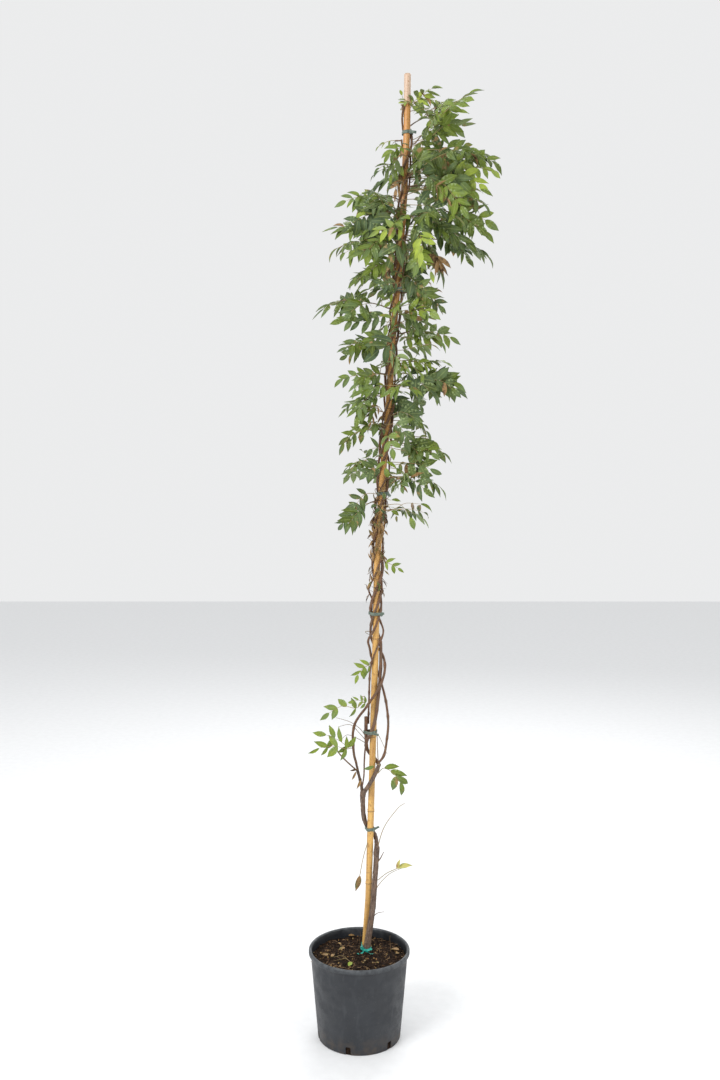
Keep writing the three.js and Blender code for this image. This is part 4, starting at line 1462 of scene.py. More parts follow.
class Plan:
    """Paths and leaflets that will become one piece."""

    def __init__(self, seed):
        self.rand = random.Random(seed)
        self.seed = seed
        self.paths, self.wood, self.leaflets = [], [], []

    def path(self, rows, wood=0.0):
        self.paths.append([list(row) for row in rows])
        self.wood.append(wood)

    def leaflet(self, where, ahead, normal, length, tint, dry, shape=None, broad=1.0):
        side = ahead.cross(normal).normalized()
        normal = side.cross(ahead).normalized()
        turn = Matrix((side, ahead.normalized(), normal)).transposed().to_euler()
        shape = self.rand.randrange(len(LEAFLET_SHAPES)) if shape is None else shape
        self.leaflets.append((tuple(where), tuple(turn), MM * length, broad, shape, tint, dry))

    def pinnate(self, points, upper_side, pairs, long, tint, dry=0.0, hang=0.3, loose=0.25, broad=1.0):
        """Leaflets in pairs along a line of points, with one at its end."""
        rand = self.rand
        shares = [k / max(pairs, 1) for k in range(pairs)] + [1.0]
        for (spot, ahead), share in zip(along_line(points, shares), shares):
            for side in (0,) if share == 1 else (-1, 1):
                if side and rand.random() < 0.06:
                    continue
                above = upper_side(ahead)
                above = (above + Vector([rand.uniform(-loose, loose) for _ in range(3)])).normalized()
                across = above.cross(ahead).normalized()
                angle = math.radians(62 - 22 * share + rand.uniform(-10, 10)) * side
                way = ahead * math.cos(angle) + across * math.sin(angle)
                way += Vector((0, 0, -1)) * hang * rand.uniform(0.3, 1.4)
                grown = long * (0.84 + 0.16 * math.sin(math.pi * min(1, share + 0.15)))
                grown *= rand.uniform(0.86, 1.14)
                worn = dry or (0.95 if rand.random() < 0.015 else rand.choice((0, 0, 0, 0, 0.15, 0.4)))
                self.leaflet(
                    spot + ahead * rand.uniform(-1, 1), way.normalized(), above, grown,
                    tint + rand.uniform(-0.09, 0.09), worn, broad=broad * rand.uniform(0.85, 1.15),
                )

    def grow(self, name, slot, *nodes):
        """Makes the piece: bare edges and loose points, then the tree."""
        points, edges, thickness, wood = [], [], [], []
        for rows, woody in zip(self.paths, self.wood):
            edges += [(len(points) + k, len(points) + k + 1) for k in range(len(rows) - 1)]
            points += [row[:3] for row in rows]
            thickness += [MM * row[3] for row in rows]
            wood += [woody] * len(rows)
        bare, loose = len(points), len(self.leaflets)
        points += [leaf[0] for leaf in self.leaflets]
        turns = [(0, 0, 0)] * bare + [leaf[1] for leaf in self.leaflets]
        floats = {"thickness": thickness + [0.0] * loose, "wood": wood + [0.0] * loose}
        floats["leaflet"] = [0.0] * bare + [1.0] * loose
        for k, label in enumerate(("size", "broad", "shape", "tint", "dry"), 2):
            floats[label] = [0.0] * bare + [float(leaf[k]) for leaf in self.leaflets]
        piece = new_piece(name, points, edges=edges, floats=floats, vectors={"turn": turns})
        shapes = leaflet_collection()
        run_tree(piece, SHOOT, {"Leaflets": shapes, "Seed": self.seed, "Leaf": LEAF, "Stalk": STALK})
        clear_shapes(shapes)
        for label in ("thickness", "turn", "size", "broad", "shape", "leaflet"):
            if label in piece.data.attributes:
                piece.data.attributes.remove(piece.data.attributes[label])
        finish_piece(piece, slot, *nodes)
        return piece


# %% [markdown]
# ## The crown
# These rows repeat the CAD's leafy shoots: height, heading, length of the twig, number of
# leaves, their length and their rise. On the real plant each shoot has more leaves than the
# plain solid that stands for it, so one or two smaller ones are added to each, and every leaf
# gets its own seeded droop and roll.

# %% The shoots of the crown
SHOOTS = [
    [2326, -8, 26, 2, 112, 40], [2296, 24, 46, 2, 128, 30], [2258, 160, 10, 1, 56, 4],
    [2248, -30, 66, 3, 142, 34], [2222, 50, 54, 2, 140, 20], [2206, 4, 94, 3, 144, 9],
    [2188, 205, 16, 2, 84, 0], [2170, 96, 40, 3, 150, 16], [2162, -48, 56, 3, 146, 16],
    [2144, 42, 84, 3, 140, 5], [2120, 170, 34, 3, 132, 14], [2076, -14, 92, 3, 142, 2],
    [2074, 230, 38, 2, 140, 8], [2052, 68, 60, 2, 150, 2], [2056, -78, 44, 3, 148, 6],
    [2040, 150, 40, 2, 144, 8], [2020, 8, 90, 3, 150, -1], [2006, 196, 46, 3, 138, 4],
    [1966, 102, 40, 3, 146, 4], [1940, 184, 18, 2, 104, 2], [1890, 10, 18, 2, 118, 6],
    [1852, 182, 52, 3, 150, 12], [1836, 300, 20, 2, 116, 8], [1818, 84, 30, 2, 136, 6],
    [1790, 4, 30, 3, 128, 8], [1758, 206, 26, 3, 118, 6], [1712, -26, 28, 2, 116, 4],
    [1690, 164, 24, 3, 108, 2], [1662, 18, 56, 3, 146, 8], [1634, 222, 24, 2, 116, 0],
    [1590, 60, 28, 2, 124, 2], [1552, 176, 22, 2, 108, -2], [1512, 2, 38, 3, 128, 6],
    [1474, 196, 18, 2, 88, 2], [1452, 112, 20, 2, 118, 0], [1430, -14, 38, 2, 132, 4],
    [1372, 208, 18, 2, 118, -22], [1350, 10, 26, 2, 108, 2],
]
HABITS = {1: [(1, 6, 0)], 2: [(1, 22, 0), (0.6, -34, 6)], 3: [(1, 4, 0), (0.72, -44, 8), (0.46, 48, 12)]}
YOUNG = {1: 0.8, 2: 0.6, 4: 0.5, 12: 0.55, 23: 0.7, 27: 0.55}


def seat_on(rows, z, deep=1.2):
    """Where a twig leaves a stem at a height, and the point where it is clear of it."""
    _, dx, dy, radius = between(rows, z)
    outward = Vector((dx, dy, 0)).normalized()
    return beside(z, dx, dy) + outward * (radius - deep), beside(z, dx, dy) + outward * (radius + 5.3)


def facing(z, turn):
    """The leader whose outer side faces a heading at a height."""
    def apart(name):
        _, dx, dy, _ = between(ROWS[name], z)
        return abs((math.atan2(dy, dx) - math.radians(turn) + math.pi) % (2 * math.pi) - math.pi)
    return min((name for name in LEADERS if ROWS[name][-1][0] > z), key=apart)


def arched_leaf(plan, start, heading, rise, length, tint, droop):
    """A leaf that rises or falls from its twig and bends down along its length."""
    rand = plan.rand
    heading, first = math.radians(heading), math.radians(rise)
    last = first - math.radians(droop)
    points = [bend(start, heading, first, last, length, 0.8 * length * k / 10) for k in range(11)]
    plan.path([[*p, 0.85 - 0.045 * k] for k, p in enumerate(points)])
    level = Vector((math.cos(heading), math.sin(heading), 0))
    roll = math.radians(rand.uniform(-50, 50))

    def upper_side(ahead):
        up = Vector((0, 0, 1)) + level * 0.3 + Vector((0, -1, 0)) * rand_front
        up = (up - ahead * up.dot(ahead)).normalized()
        return up * math.cos(roll) + ahead.cross(up) * math.sin(roll)

    rand_front = rand.uniform(0.2, 1.5)
    pairs = max(2, min(5, round(length / 30)))
    plan.pinnate(points[3:], upper_side, pairs, length * 0.36, tint, hang=rand.uniform(0, 0.35))


def plan_shoot(plan, rows, z, turn, twig, count, length, lift, tint, extra):
    """The twig of a shoot and its leaves, seated on the stem of these rows."""
    seat, elbow = seat_on(rows, z)
    heading, first, last = math.radians(turn), math.radians(lift + 12), math.radians(lift - 6)

    def twig_at(share):
        return bend(elbow, heading, first, last, twig, share * twig)

    stations = [seat, elbow] + [twig_at(k / 6) for k in range(1, 7)]
    plan.path(smooth([[*p, 1.9 - 0.12 * k] for k, p in enumerate(stations)], 2), 1.0)
    rand = plan.rand
    for share, off, less in HABITS[count]:
        arched_leaf(
            plan, twig_at(share), turn + off, lift - less + rand.uniform(-6, 14), length * 0.94,
            tint + rand.uniform(-0.12, 0.12), rand.uniform(20, 70),
        )
    for k in range(extra):
        share, off = (0.86, 0.3, 0.6)[k % 3], (-84, 92, 180)[k % 3] + rand.uniform(-25, 25)
        arched_leaf(
            plan, twig_at(share), turn + off, lift + rand.uniform(-20, 40), length * rand.uniform(0.55, 0.75),
            tint + rand.uniform(-0.15, 0.15), rand.uniform(20, 80),
        )


for number, row in enumerate(SHOOTS, 1):
    plan = Plan(100 + number)
    tint = YOUNG.get(number, plan.rand.uniform(0.1, 0.45))
    plan_shoot(plan, ROWS[facing(row[0], row[1])], *row, tint, extra=2 if row[3] > 1 and row[0] < 2120 else 1)
    name = f"leafy_shoot_{number:02d}"
    piece = plan.grow(name + "_leaves", "leaf_green", name)
    if number in (1, 12, 38):
        print(name, len(plan.leaflets), "leaflets,", len(piece.data.polygons), "faces")

# %% [markdown]
# ## The leaves that are seen one by one
# A crown made only by rule looks combed. The leaves that give this one its outline and its
# front were measured one at a time. Each row is a height on the stems, three places that its
# midrib passes through, in millimetres, the number of pairs, the length of a leaflet, the roll
# of the leaf, its tint, how dry it is and how much its leaflets hang. Leaflets start at the
# first place, and the stalk runs back from there to the nearest stem.

# %% The measured leaves
SPRAYS = [
    (2321, (129, 8, 2338), (143, 2, 2350), (157, -6, 2357), 2, 30, 20, 0.85, 0, 0.3),
    (2335, (112, 16, 2350), (107, 20, 2361), (105, 20, 2368), 1, 17, 20, 0.8, 0, 0.3),
    (2326, (148, 6, 2330), (180, 0, 2324), (201, -6, 2310), 1, 20, 20, 0.6, 0, 0.2),
    (2338, (165, 4, 2353), (175, 0, 2362), (182, -2, 2363), 1, 14, 60, 0.8, 0, 0.2),
    (2262, (168, 0, 2276), (191, -10, 2289), (208, -16, 2299), 3, 42, 15, 0.55, 0, 0.2),
    (2254, (176, -20, 2258), (200, -24, 2278), (219, -26, 2282), 3, 40, -10, 0.5, 0, 0.8),
    (2243, (157, -16, 2250), (176, -20, 2256), (191, -22, 2260), 2, 34, 10, 0.15, 0, 0.3),
    (2231, (148, -10, 2244), (157, -22, 2224), (161, -30, 2198), 3, 44, 0, 0.25, 0, 0.4),
    (2207, (197, 0, 2231), (233, -6, 2236), (270, -10, 2232), 4, 34, 25, 0.45, 0, 0.3),
    (2200, (215, -20, 2206), (249, -26, 2204), (277, -30, 2208), 3, 38, -15, 0.35, 0, 0.5),
    (2183, (235, 10, 2198), (281, 6, 2208), (312, 0, 2211), 3, 40, 30, 0.5, 0, 0.1),
    (2168, (246, -10, 2175), (288, -20, 2184), (319, -24, 2174), 4, 34, 40, 0.7, 0, 0.4),
    (2178, (209, -40, 2184), (237, -50, 2183), (260, -56, 2167), 3, 38, 10, 0.65, 0, 0.4),
    (2164, (230, -50, 2157), (265, -60, 2148), (286, -64, 2133), 3, 42, -10, 0.8, 0, 0.4),
    (2147, (193, -60, 2148), (216, -70, 2150), (240, -76, 2134), 3, 46, 10, 0.28, 0, 0.4),
    (2171, (135, -70, 2159), (163, -85, 2146), (191, -92, 2118), 4, 38, 5, 0.2, 0, 0.3),
    (2159, (166, -30, 2186), (195, -40, 2177), (218, -44, 2166), 3, 40, 0, 0.12, 0, 0.4),
    (2135, (217, -60, 2120), (255, -66, 2118), (288, -70, 2117), 4, 38, 55, 0.4, 0, 0.3),
    (2123, (191, -90, 2126), (219, -98, 2101), (240, -104, 2071), 4, 42, 0, 0.5, 0, 0.3),
    (2111, (233, -20, 2111), (268, -30, 2108), (297, -34, 2095), 4, 36, 40, 0.35, 0, 0.4),
    (2135, (181, -95, 2120), (193, -98, 2105), (205, -100, 2093), 1, 30, 0, 0.3, 1, 0.6),
    (2231, (194, -40, 2219), (204, -44, 2208), (211, -46, 2194), 2, 26, 10, 0.4, 0.8, 0.6),
    (2099, (141, -60, 2084), (169, -70, 2080), (192, -76, 2069), 3, 46, 10, 0.08, 0, 0.4),
    (2075, (219, -40, 2073), (252, -50, 2056), (286, -54, 2036), 4, 42, 10, 0.3, 0, 0.4),
    (2058, (246, -10, 2056), (280, -16, 2047), (304, -20, 2032), 3, 44, 35, 0.4, 0, 0.3),
    (2051, (186, -40, 2039), (223, -50, 2023), (257, -54, 2001), 4, 42, -5, 0.15, 0, 0.6),
    (2027, (199, 10, 2026), (238, 4, 2015), (267, 0, 1998), 3, 42, 45, 0.3, 0, 0.3),
    (2075, (121, -70, 2058), (135, -80, 2040), (145, -84, 2015), 3, 44, 0, 0.15, 0, 0.3),
    (2034, (140, -80, 2012), (149, -92, 1986), (146, -98, 1966), 3, 40, 5, 0.98, 0, 0.3),
    (1990, (132, -50, 1980), (141, -58, 1964), (139, -62, 1945), 3, 40, 0, 0.6, 0, 0.3),
    (1961, (158, -30, 1951), (170, -34, 1940), (174, -36, 1933), 1, 30, 20, 0.95, 0, 1),
    (1985, (173, -20, 1977), (189, -24, 1971), (197, -26, 1956), 4, 44, 0, 0.1, 1, 1.6),
    (1961, (121, 20, 1965), (135, 14, 1944), (140, 10, 1919), 3, 44, 0, 0.1, 0, 0.4),
    (1927, (119, -20, 1924), (134, -26, 1908), (148, -30, 1884), 3, 42, 0, 0.12, 0, 0.4),
    (1893, (143, -30, 1893), (158, -34, 1883), (167, -36, 1868), 3, 36, 0, 0.3, 0, 0.5),
    (1910, (163, -30, 1908), (177, -34, 1895), (189, -36, 1890), 1, 18, 40, 0.1, 1, 0.2),
    (2226, (104, -20, 2230), (86, -30, 2222), (74, -34, 2211), 3, 34, 15, 0.5, 0, 0.3),
    (2211, (98, -50, 2204), (83, -60, 2185), (71, -66, 2165), 3, 40, 125, 0.4, 0, 0.3),
    (2183, (100, 0, 2192), (90, -4, 2182), (80, -8, 2171), 2, 34, 70, 0.5, 0, 0.4),
    (2159, (104, -30, 2151), (94, -34, 2140), (89, -36, 2128), 2, 34, 0, 0.1, 1, 0.6),
    (2111, (79, -30, 2099), (50, -36, 2092), (29, -40, 2087), 4, 36, 50, 0.3, 0, 0.3),
    (2120, (90, 10, 2123), (71, 6, 2122), (53, 0, 2116), 3, 30, 60, 0.2, 0, 0.3),
    (2082, (63, -30, 2073), (36, -36, 2069), (16, -40, 2070), 3, 32, 30, 0.65, 0, 0.3),
    (2068, (46, -10, 2063), (17, -16, 2052), (-8, -20, 2044), 3, 48, 10, 0.45, 0, 0.2),
    (2058, (86, -60, 2058), (69, -70, 2049), (52, -74, 2036), 3, 44, 0, 0.1, 0, 0.4),
    (2043, (97, -80, 2026), (68, -90, 2021), (47, -94, 2016), 3, 34, 25, 0.8, 0, 0.3),
    (2024, (61, 0, 2029), (36, -6, 2023), (19, -10, 2012), 4, 32, 60, 0.1, 0, 0.3),
    (2014, (75, -40, 2001), (41, -50, 1987), (9, -54, 1977), 4, 42, 15, 0.5, 0, 0.2),
    (2010, (102, -70, 2000), (90, -78, 1984), (81, -80, 1967), 2, 50, 0, 0.12, 0, 0.3),
    (1976, (75, -20, 1962), (51, -26, 1951), (29, -30, 1939), 4, 34, 20, 0.5, 0, 0.3),
    (1961, (80, -20, 1957), (65, -24, 1942), (60, -26, 1925), 3, 26, 0, 0.1, 1, 0.8),
    (1891, (85, -30, 1888), (51, -36, 1890), (24, -40, 1889), 3, 38, 100, 0.25, 0, 0.2),
    (1913, (89, -40, 1903), (70, -46, 1900), (53, -50, 1895), 3, 34, 10, 0.1, 0, 0.4),
    (1815, (41, -20, 1815), (2, -26, 1814), (-39, -30, 1816), 4, 36, 20, 0.35, 0, 0.3),
    (1830, (61, -30, 1826), (36, -36, 1820), (14, -38, 1820), 3, 34, 25, 0.2, 0, 0.3),
    (1830, (79, -60, 1817), (69, -66, 1806), (65, -68, 1797), 1, 30, 0, 0.6, 0, 0.3),
    (1825, (99, -40, 1829), (128, -48, 1828), (159, -52, 1823), 4, 38, 110, 0.3, 0, 0.2),
    (1815, (120, -20, 1822), (144, -24, 1815), (163, -28, 1807), 3, 36, 50, 0.3, 0, 0.3),
    (1854, (124, -20, 1856), (144, -26, 1860), (158, -30, 1855), 3, 34, 20, 0.25, 0, 0.6),
    (1781, (60, -50, 1775), (41, -56, 1770), (24, -60, 1760), 3, 38, 10, 0.35, 0, 0.4),
    (1767, (79, -80, 1757), (64, -88, 1747), (47, -92, 1737), 2, 52, 0, 0.08, 0, 0.3),
    (1754, (41, -10, 1753), (12, -16, 1753), (-10, -20, 1750), 3, 34, 65, 0.3, 0, 0.2),
    (1742, (74, -90, 1737), (90, -98, 1720), (107, -100, 1703), 2, 42, 130, 0.3, 0, 0.2),
    (1747, (110, -30, 1744), (143, -38, 1752), (170, -42, 1757), 4, 38, 110, 0.35, 0, 0.2),
    (1781, (121, 0, 1776), (150, -4, 1778), (177, -8, 1775), 3, 36, 45, 0.6, 0, 0.3),
    (1718, (110, -30, 1719), (144, -36, 1714), (170, -40, 1704), 5, 32, 55, 0.45, 0, 0.3),
    (1708, (94, -70, 1711), (91, -74, 1703), (89, -76, 1698), 1, 28, 130, 0.3, 0, 0.4),
    (1673, (169, -20, 1672), (201, -26, 1669), (225, -30, 1652), 3, 38, 10, 0.22, 0, 0.3),
    (1688, (124, -40, 1685), (150, -48, 1662), (170, -52, 1645), 3, 46, 20, 0.15, 0, 0.3),
    (1661, (98, -80, 1653), (88, -86, 1647), (76, -88, 1642), 3, 36, 60, 0.5, 0, 0.2),
    (1659, (94, -70, 1653), (115, -76, 1648), (132, -78, 1643), 3, 36, 60, 0.5, 0, 0.2),
    (1683, (51, -20, 1686), (27, -24, 1681), (12, -26, 1676), 3, 32, 20, 0.3, 0, 0.3),
    (1654, (61, -30, 1656), (31, -36, 1651), (7, -40, 1643), 4, 40, 60, 0.45, 0, 0.2),
    (1629, (51, -10, 1638), (22, -16, 1626), (-5, -20, 1616), 5, 36, 55, 0.5, 0, 0.2),
    (1619, (82, 20, 1625), (107, 14, 1615), (122, 10, 1600), 3, 42, 0, 0.12, 0, 0.4),
    (1595, (41, -20, 1603), (17, -24, 1603), (-3, -28, 1600), 3, 36, 50, 0.45, 0, 0.3),
    (1560, (42, -10, 1565), (17, -14, 1562), (2, -18, 1559), 2, 38, 65, 0.35, 0, 0.2),
    (1595, (31, -30, 1598), (7, -34, 1593), (-3, -36, 1581), 2, 34, 10, 0.35, 0, 0.9),
    (1595, (46, -20, 1608), (34, -24, 1588), (29, -26, 1571), 3, 26, 0, 0.1, 1, 0.7),
    (1587, (100, -20, 1594), (120, -26, 1588), (135, -30, 1578), 4, 38, 0, 0.2, 0, 0.4),
    (1563, (90, -40, 1563), (105, -46, 1549), (114, -50, 1531), 3, 42, 0, 0.25, 0, 0.3),
    (1575, (126, -10, 1572), (145, -14, 1567), (157, -16, 1564), 2, 24, 60, 0.3, 0.5, 0.3),
    (1530, (70, -70, 1533), (77, -82, 1516), (79, -84, 1502), 2, 32, 0, 0.55, 0, 0.1),
    (1503, (46, -20, 1505), (36, -24, 1505), (32, -24, 1503), 1, 32, 10, 0.2, 0, 0.2),
    (1525, (115, -20, 1522), (140, -26, 1517), (157, -30, 1510), 3, 38, 0, 0.25, 0, 0.4),
    (1506, (126, 0, 1496), (146, -4, 1491), (156, -8, 1486), 2, 40, 0, 0.3, 0, 0.3),
    (1535, (151, -10, 1533), (175, -14, 1523), (187, -16, 1510), 3, 28, 30, 0.4, 0, 0.8),
    (1461, (46, -20, 1461), (32, -26, 1456), (19, -30, 1446), 3, 34, 5, 0.15, 0, 0.2),
    (1471, (65, -60, 1471), (65, -66, 1461), (65, -66, 1456), 1, 32, 0, 0.5, 0, 0.3),
    (1456, (100, -50, 1451), (114, -58, 1441), (126, -60, 1429), 2, 38, 110, 0.45, 0, 0.3),
    (1471, (126, -20, 1468), (155, -24, 1463), (175, -26, 1454), 2, 46, 10, 0.35, 0, 0.2),
    (1461, (102, 0, 1466), (131, -4, 1461), (153, -8, 1451), 4, 30, 50, 0.3, 0, 0.4),
    (1436, (91, -30, 1431), (100, -34, 1422), (108, -36, 1414), 2, 30, 0, 0.1, 0.7, 1.2),
    (1441, (161, -10, 1441), (166, -12, 1429), (166, -12, 1421), 1, 26, 30, 0.4, 0, 1),
    (1391, (17, -10, 1392), (-3, -14, 1372), (-8, -16, 1350), 3, 32, 0, 0.15, 0, 0.1),
    (1381, (71, -20, 1379), (76, -22, 1377), (81, -22, 1377), 0, 28, 60, 0.45, 0, 0),
    (1351, (66, -20, 1352), (74, -22, 1352), (79, -22, 1350), 0, 32, 30, 0.5, 0, 0),
    (1346, (96, -16, 1359), (116, -18, 1369), (151, -20, 1367), 0, 46, 40, 0.55, 0, 0),
    (1361, (96, -24, 1367), (113, -26, 1355), (126, -26, 1333), 0, 34, 10, 0.5, 0, 0),
    (1396, (64, -24, 1402), (61, -28, 1399), (61, -30, 1395), 0, 18, 0, 0.1, 0, 0),
]


def nearest_stem(z, towards):
    spot = beside(z)
    return facing(z, math.degrees(math.atan2(towards[1] - spot.y, towards[0] - spot.x)))


def measured_leaf(plan, stem, z, first, middle, end, pairs, long, roll, tint, dry, hang):
    """A leaf through three measured places, with its stalk seated on a stem."""
    seat, elbow = seat_on(ROWS[stem], z)
    line = smooth([list(p) for p in (seat, elbow, first, middle, end)], 5)
    plan.path([[*p, 1.1 - 0.035 * k] for k, p in enumerate(line)], 0.25)
    points = [Vector(p) for p in line[10:]]
    broad = 0.6 if dry else 1.1
    plan.pinnate(points, facing_way(roll), pairs, long * 1.1, tint, dry, hang, loose=0.22, broad=broad)


LEAVES_IN_PIECE = 20
for group in range(0, len(SPRAYS), LEAVES_IN_PIECE):
    plan = Plan(500 + group)
    for row in SPRAYS[group:group + LEAVES_IN_PIECE]:
        measured_leaf(plan, nearest_stem(row[0], row[1]), *row)
    piece = plan.grow(f"crown_leaves_{group // 20 + 1}", "leaf_green")
    print(piece.name, len(plan.leaflets), "leaflets,", len(piece.data.polygons), "faces")

# %% [markdown]
# ## The single shoots below the crown
# Five small shoots grow on the stems under the crown. They stand alone, so they are measured
# leaf by leaf too, and each stands for its CAD shoot.

# %% The single shoots below the crown
LOW_STEMS = {
    "lower_left_shoot": "left_leader", "stub_shoot": "cut_stub", "small_left_shoot": "thin_leader",
    "lower_right_shoot": "right_limb", "upper_right_leaf": "thin_leader",
}
LOW_SPRAYS = [
    ("small_left_shoot", 963, (25, -6, 962), (10, -10, 955), (-3, -12, 938), 3, 30, 0, 0.6, 0, 0.3),
    ("stub_shoot", 856, (-8, -6, 852), (-43, -10, 858), (-76, -12, 841), 3, 32, 10, 0.65, 0, 0.3),
    ("stub_shoot", 871, (15, -12, 866), (2, -14, 874), (-13, -16, 872), 3, 19, 20, 0.55, 0, 0.3),
    ("lower_left_shoot", 738, (-28, -10, 753), (-53, -16, 773), (-83, -20, 787), 3, 34, 15, 0.55, 0, 0.3),
    ("lower_left_shoot", 738, (-33, -20, 751), (-63, -26, 760), (-101, -30, 756), 3, 34, 15, 0.6, 0, 0.3),
    ("lower_right_shoot", 679, (63, -16, 701), (88, -22, 688), (103, -26, 668), 3, 42, 5, 0.5, 0, 0.4),
    ("lower_right_shoot", 679, (52, -30, 713), (42, -36, 715), (37, -38, 713), 0, 34, 10, 0.45, 0, 0),
    ("upper_right_leaf", 1226, (67, -10, 1222), (82, -12, 1215), (97, -14, 1207), 2, 23, 10, 0.55, 0, 0.4),
]
for number, (name, stem) in enumerate(LOW_STEMS.items()):
    plan = Plan(300 + number)
    for row in LOW_SPRAYS:
        if row[0] == name:
            measured_leaf(plan, stem, *row[1:])
    plan.grow(name + "_leaves", "leaf_green", name)

# %% [markdown]
# ## The yellow leaf and the dried leaf
# One leaf on a long stalk has turned yellow, and a dry one hangs from the bend of the trunk.

# %% The yellow leaf and the dried leaf
YELLOW_STALK = [[392, 22.7, -13], [414, 44, -22], [430, 72, -28]]
DRIED_STALK = [[490, -6.3, -7.4], [455, -16, -12], [403, -24.5, -14]]


def stalked(name, stalk, length, tint, dry, shape, slot, node, normal):
    plan = Plan(400 + shape)
    spots = [beside(*row) for row in stalk]
    plan.path(smooth([[*p, 1.0] for p in spots], 6), 0.3)
    ahead = (spots[-1] - spots[-2]).normalized()
    foot = spots[-1] - ahead * 2
    plan.leaflet(foot, ahead, Vector(normal), length, tint, dry, shape)
    if node == "yellow_leaf":
        plan.leaflet(foot, Vector((0.35, -0.1, 0.9)), Vector((-0.3, -1, 0)), length * 0.62, tint, 0.6, 1)
    plan.grow(name, slot, node)


stalked("yellow_leaf_blade", YELLOW_STALK, 42, 1.45, 0.3, 2, "leaf_yellow", "yellow_leaf", (0.2, -0.5, 1))
stalked("dried_leaf_blade", DRIED_STALK, 42, 0.2, 0.9, 0, "leaf_dry", "dried_leaf", (0.4, -1, 0.2))

# %% [markdown]
# ## Dead bits along the stems
# Between the crown and the bare stems the plant is shaggy with old stalks, bud scales and
# curled tendrils. They are short curled paths that start on a stem, at seeded places.

# %% Dead bits along the stems
def curl(plan, seat, out, length, radius, turns, wood=1.0, thick=0.8):
    """A path that leaves a stem and curls: out is its first direction, and radius sets how much it sags."""
    rand = plan.rand
    ahead = out.normalized()
    side = ahead.cross(Vector([rand.uniform(-1, 1) for _ in range(3)])).normalized()
    spot, steps, rows = seat.copy(), 12, []
    angle, sag = math.radians(360 * turns) / steps, Vector((0, 0, -0.03 * radius / 6))
    for k in range(steps + 1):
        rows.append([*spot, thick * (1 - 0.6 * k / steps)])
        curled = ahead * math.cos(angle) + side.cross(ahead) * math.sin(angle)
        ahead = (curled + sag).normalized()
        spot = spot + ahead * length / steps
    plan.path(rows, wood)


DEAD_BITS = 300
TENDRILS = [
    (1262, -1, 64, 0.8), (1330, 1, 70, -0.9), (1346, -1, 46, 0.7), (1290, 1, 40, 0.6),
    (1405, -1, 50, 0.8), (1240, 1, 36, -0.5), (1180, -1, 40, 0.5), (1040, -1, 44, 0.8),
]
plan = Plan(700)
rand = plan.rand
for k in range(DEAD_BITS):
    z = rand.choice((rand.uniform(1235, 1440), rand.uniform(1130, 1380), rand.uniform(1440, 2200)))
    stem = rand.choice([name for name in LEADERS if ROWS[name][-1][0] > z])
    seat, elbow = seat_on(ROWS[stem], z, 0.8)
    away = (elbow - seat).normalized()
    along = Vector((rand.uniform(-0.6, 0.6), rand.uniform(-0.5, 0.2), rand.choice((-1, 1))))
    if k % 3:
        plan.leaflet(
            seat + away, (along + away * rand.uniform(0.1, 0.7)).normalized(), away + Vector((0.1, -0.2, 0.1)),
            rand.uniform(12, 27), 0.2, rand.uniform(0.75, 1.1), broad=rand.uniform(0.6, 1.0),
        )
    else:
        length, turns = rand.uniform(10, 26), rand.uniform(-0.4, 0.4)
        curl(plan, seat, away * 0.5 + along, length, 6, turns, 1.0, rand.uniform(0.6, 1.4))
for z, side, length, turns in TENDRILS:
    seat, elbow = seat_on(ROWS[facing(z, 0 if side > 0 else 180)], z, 0.8)
    curl(plan, seat, Vector((side, -0.5, 0.3)), length, 10, turns, 0.7, 1.0)
plan.grow("dead_bits", "young_bark")
print("dead bits:", len(plan.paths), "curls and", len(plan.leaflets), "scales")

# %% [markdown]
# ## Bare twigs, old stalks and what has fallen
# A few single things finish the likeness: the dead tip of the left limb, a spur and a twig on
# the trunk, old leaf stalks that have lost their leaves, and bits that lie on the mix. Each
# path starts in the stem that carries it; each fallen bit lies on the top of the mix.

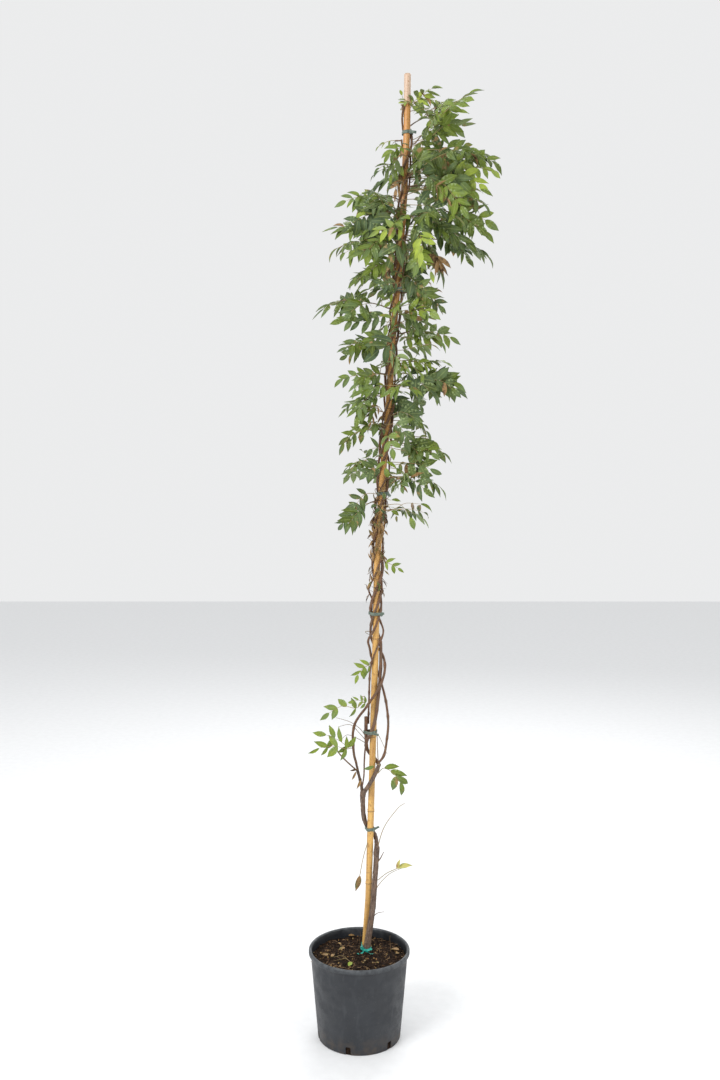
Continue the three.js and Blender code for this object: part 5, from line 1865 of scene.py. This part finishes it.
# %% Bare twigs, old stalks and what has fallen
TWIGS = [
    ([(-6.1, 41.1, 678), (-51, 35, 724), (-65, 31, 761), (-77, 29, 798)], 2.2, 1.0),
    ([(29, 29.4, 289), (43, 31, 303), (51, 29, 308), (65, 25, 312)], 1.3, 1.0),
    ([(41, 36.2, 431), (53, 38, 446), (58, 35, 456), (63, 33, 467)], 2.0, 1.0),
    ([(51, 27.5, 690), (48, 30, 716), (47, 29, 746), (46, 28, 775)], 1.5, 1.0),
    ([(42, 36.4, 433), (51, 40, 489), (67, 32, 538), (100, 26, 585), (118, 24, 598)], 1.4, 0.3),
    ([(14, 38.6, 772), (2, 36, 789), (-23, 34, 807), (-59, 30, 819)], 1.0, 0.7),
    ([(14.5, 38.3, 761), (0, 32, 779), (-23, 30, 801), (-54, 26, 796)], 1.0, 0.7),
    ([(14.9, 38.1, 752), (-4, 30, 765), (-31, 28, 775), (-49, 26, 759)], 1.0, 0.8),
    ([(35, 23, 790), (49, 15, 777), (59, 13, 758), (71, 11, 730)], 1.0, 0.6),
    ([(37, 31.9, 353), (51, 33, 381), (79, 27, 412), (110, 23, 428)], 1.2, 0.3),
    ([(80, 22, 203), (81, 21, 222), (79, 22, 240), (80, 20, 252)], 0.7, 0.8),
    ([(2, 68, 204), (1, 67, 218), (3, 66, 232), (2, 66, 243)], 0.5, 0.8),
    ([(-20, -40, 208), (-34, -30, 213), (-52, -34, 212), (-66, -28, 207)], 0.6, 0.2),
    ([(-30, -22, 208), (-44, -14, 214), (-60, -18, 213), (-74, -10, 208)], 0.5, 0.2),
]
FALLEN = [
    (-80, -5, 24, 150, 0.2, 0.8), (-72, -12, 16, 60, 0.2, 0.7), (-27, -63, 22, 70, 0.75, 0.3),
    (103, 26, 26, 150, 0.3, 0.75), (-29, 111, 22, 20, 0.3, 0.9), (-37, 40, 18, 200, 0.3, 0.8),
    (49, -47, 14, 130, 0.4, 0.7), (94, 6, 15, 40, 0.4, 0.7), (14, -40, 12, 90, 0.3, 0.8),
    (-55, 70, 14, 300, 0.3, 0.9),
]
FALLEN_HEIGHT = 210
SHRIVELLED = [
    ((-4, 33, 684), (-0.9, -0.2, -0.2), 22), ((-8, 33, 678), (-0.5, -0.3, -0.9), 26),
    ((6, 34, 659), (-0.5, -0.3, -1), 30),
]
plan = Plan(800)
for rows, thick, wood in TWIGS:
    line = smooth([list(p) for p in rows], 5)
    plan.path([[*p, thick * (1 - 0.55 * k / len(line))] for k, p in enumerate(line)], wood)
for x, y, length, heading, tint, dry in FALLEN:
    heading = math.radians(heading)
    ahead = Vector((math.cos(heading), math.sin(heading), 0.1))
    plan.leaflet((x, y, FALLEN_HEIGHT), ahead, Vector((0.2, -0.2, 1)), length, tint, dry, 1, 1.4)
for where, ahead, length in SHRIVELLED:
    plan.path([[*seat_on(LEFT_LIMB, where[2] - 6)[0], 1.0], [*where, 0.7]], 0.8)
    plan.leaflet(where, Vector(ahead).normalized(), Vector((0, -1, 0.3)), length, 0.2, 1.0, 3, 0.9)
plan.grow("twigs_and_fallen_bits", "young_bark")

# %% [markdown]
# ## Pieces and faces
# At the end, the number of pieces and of their faces is printed.

# %% Pieces and faces
print("pieces:", len(PIECES), "faces:", sum(PIECES.values()))
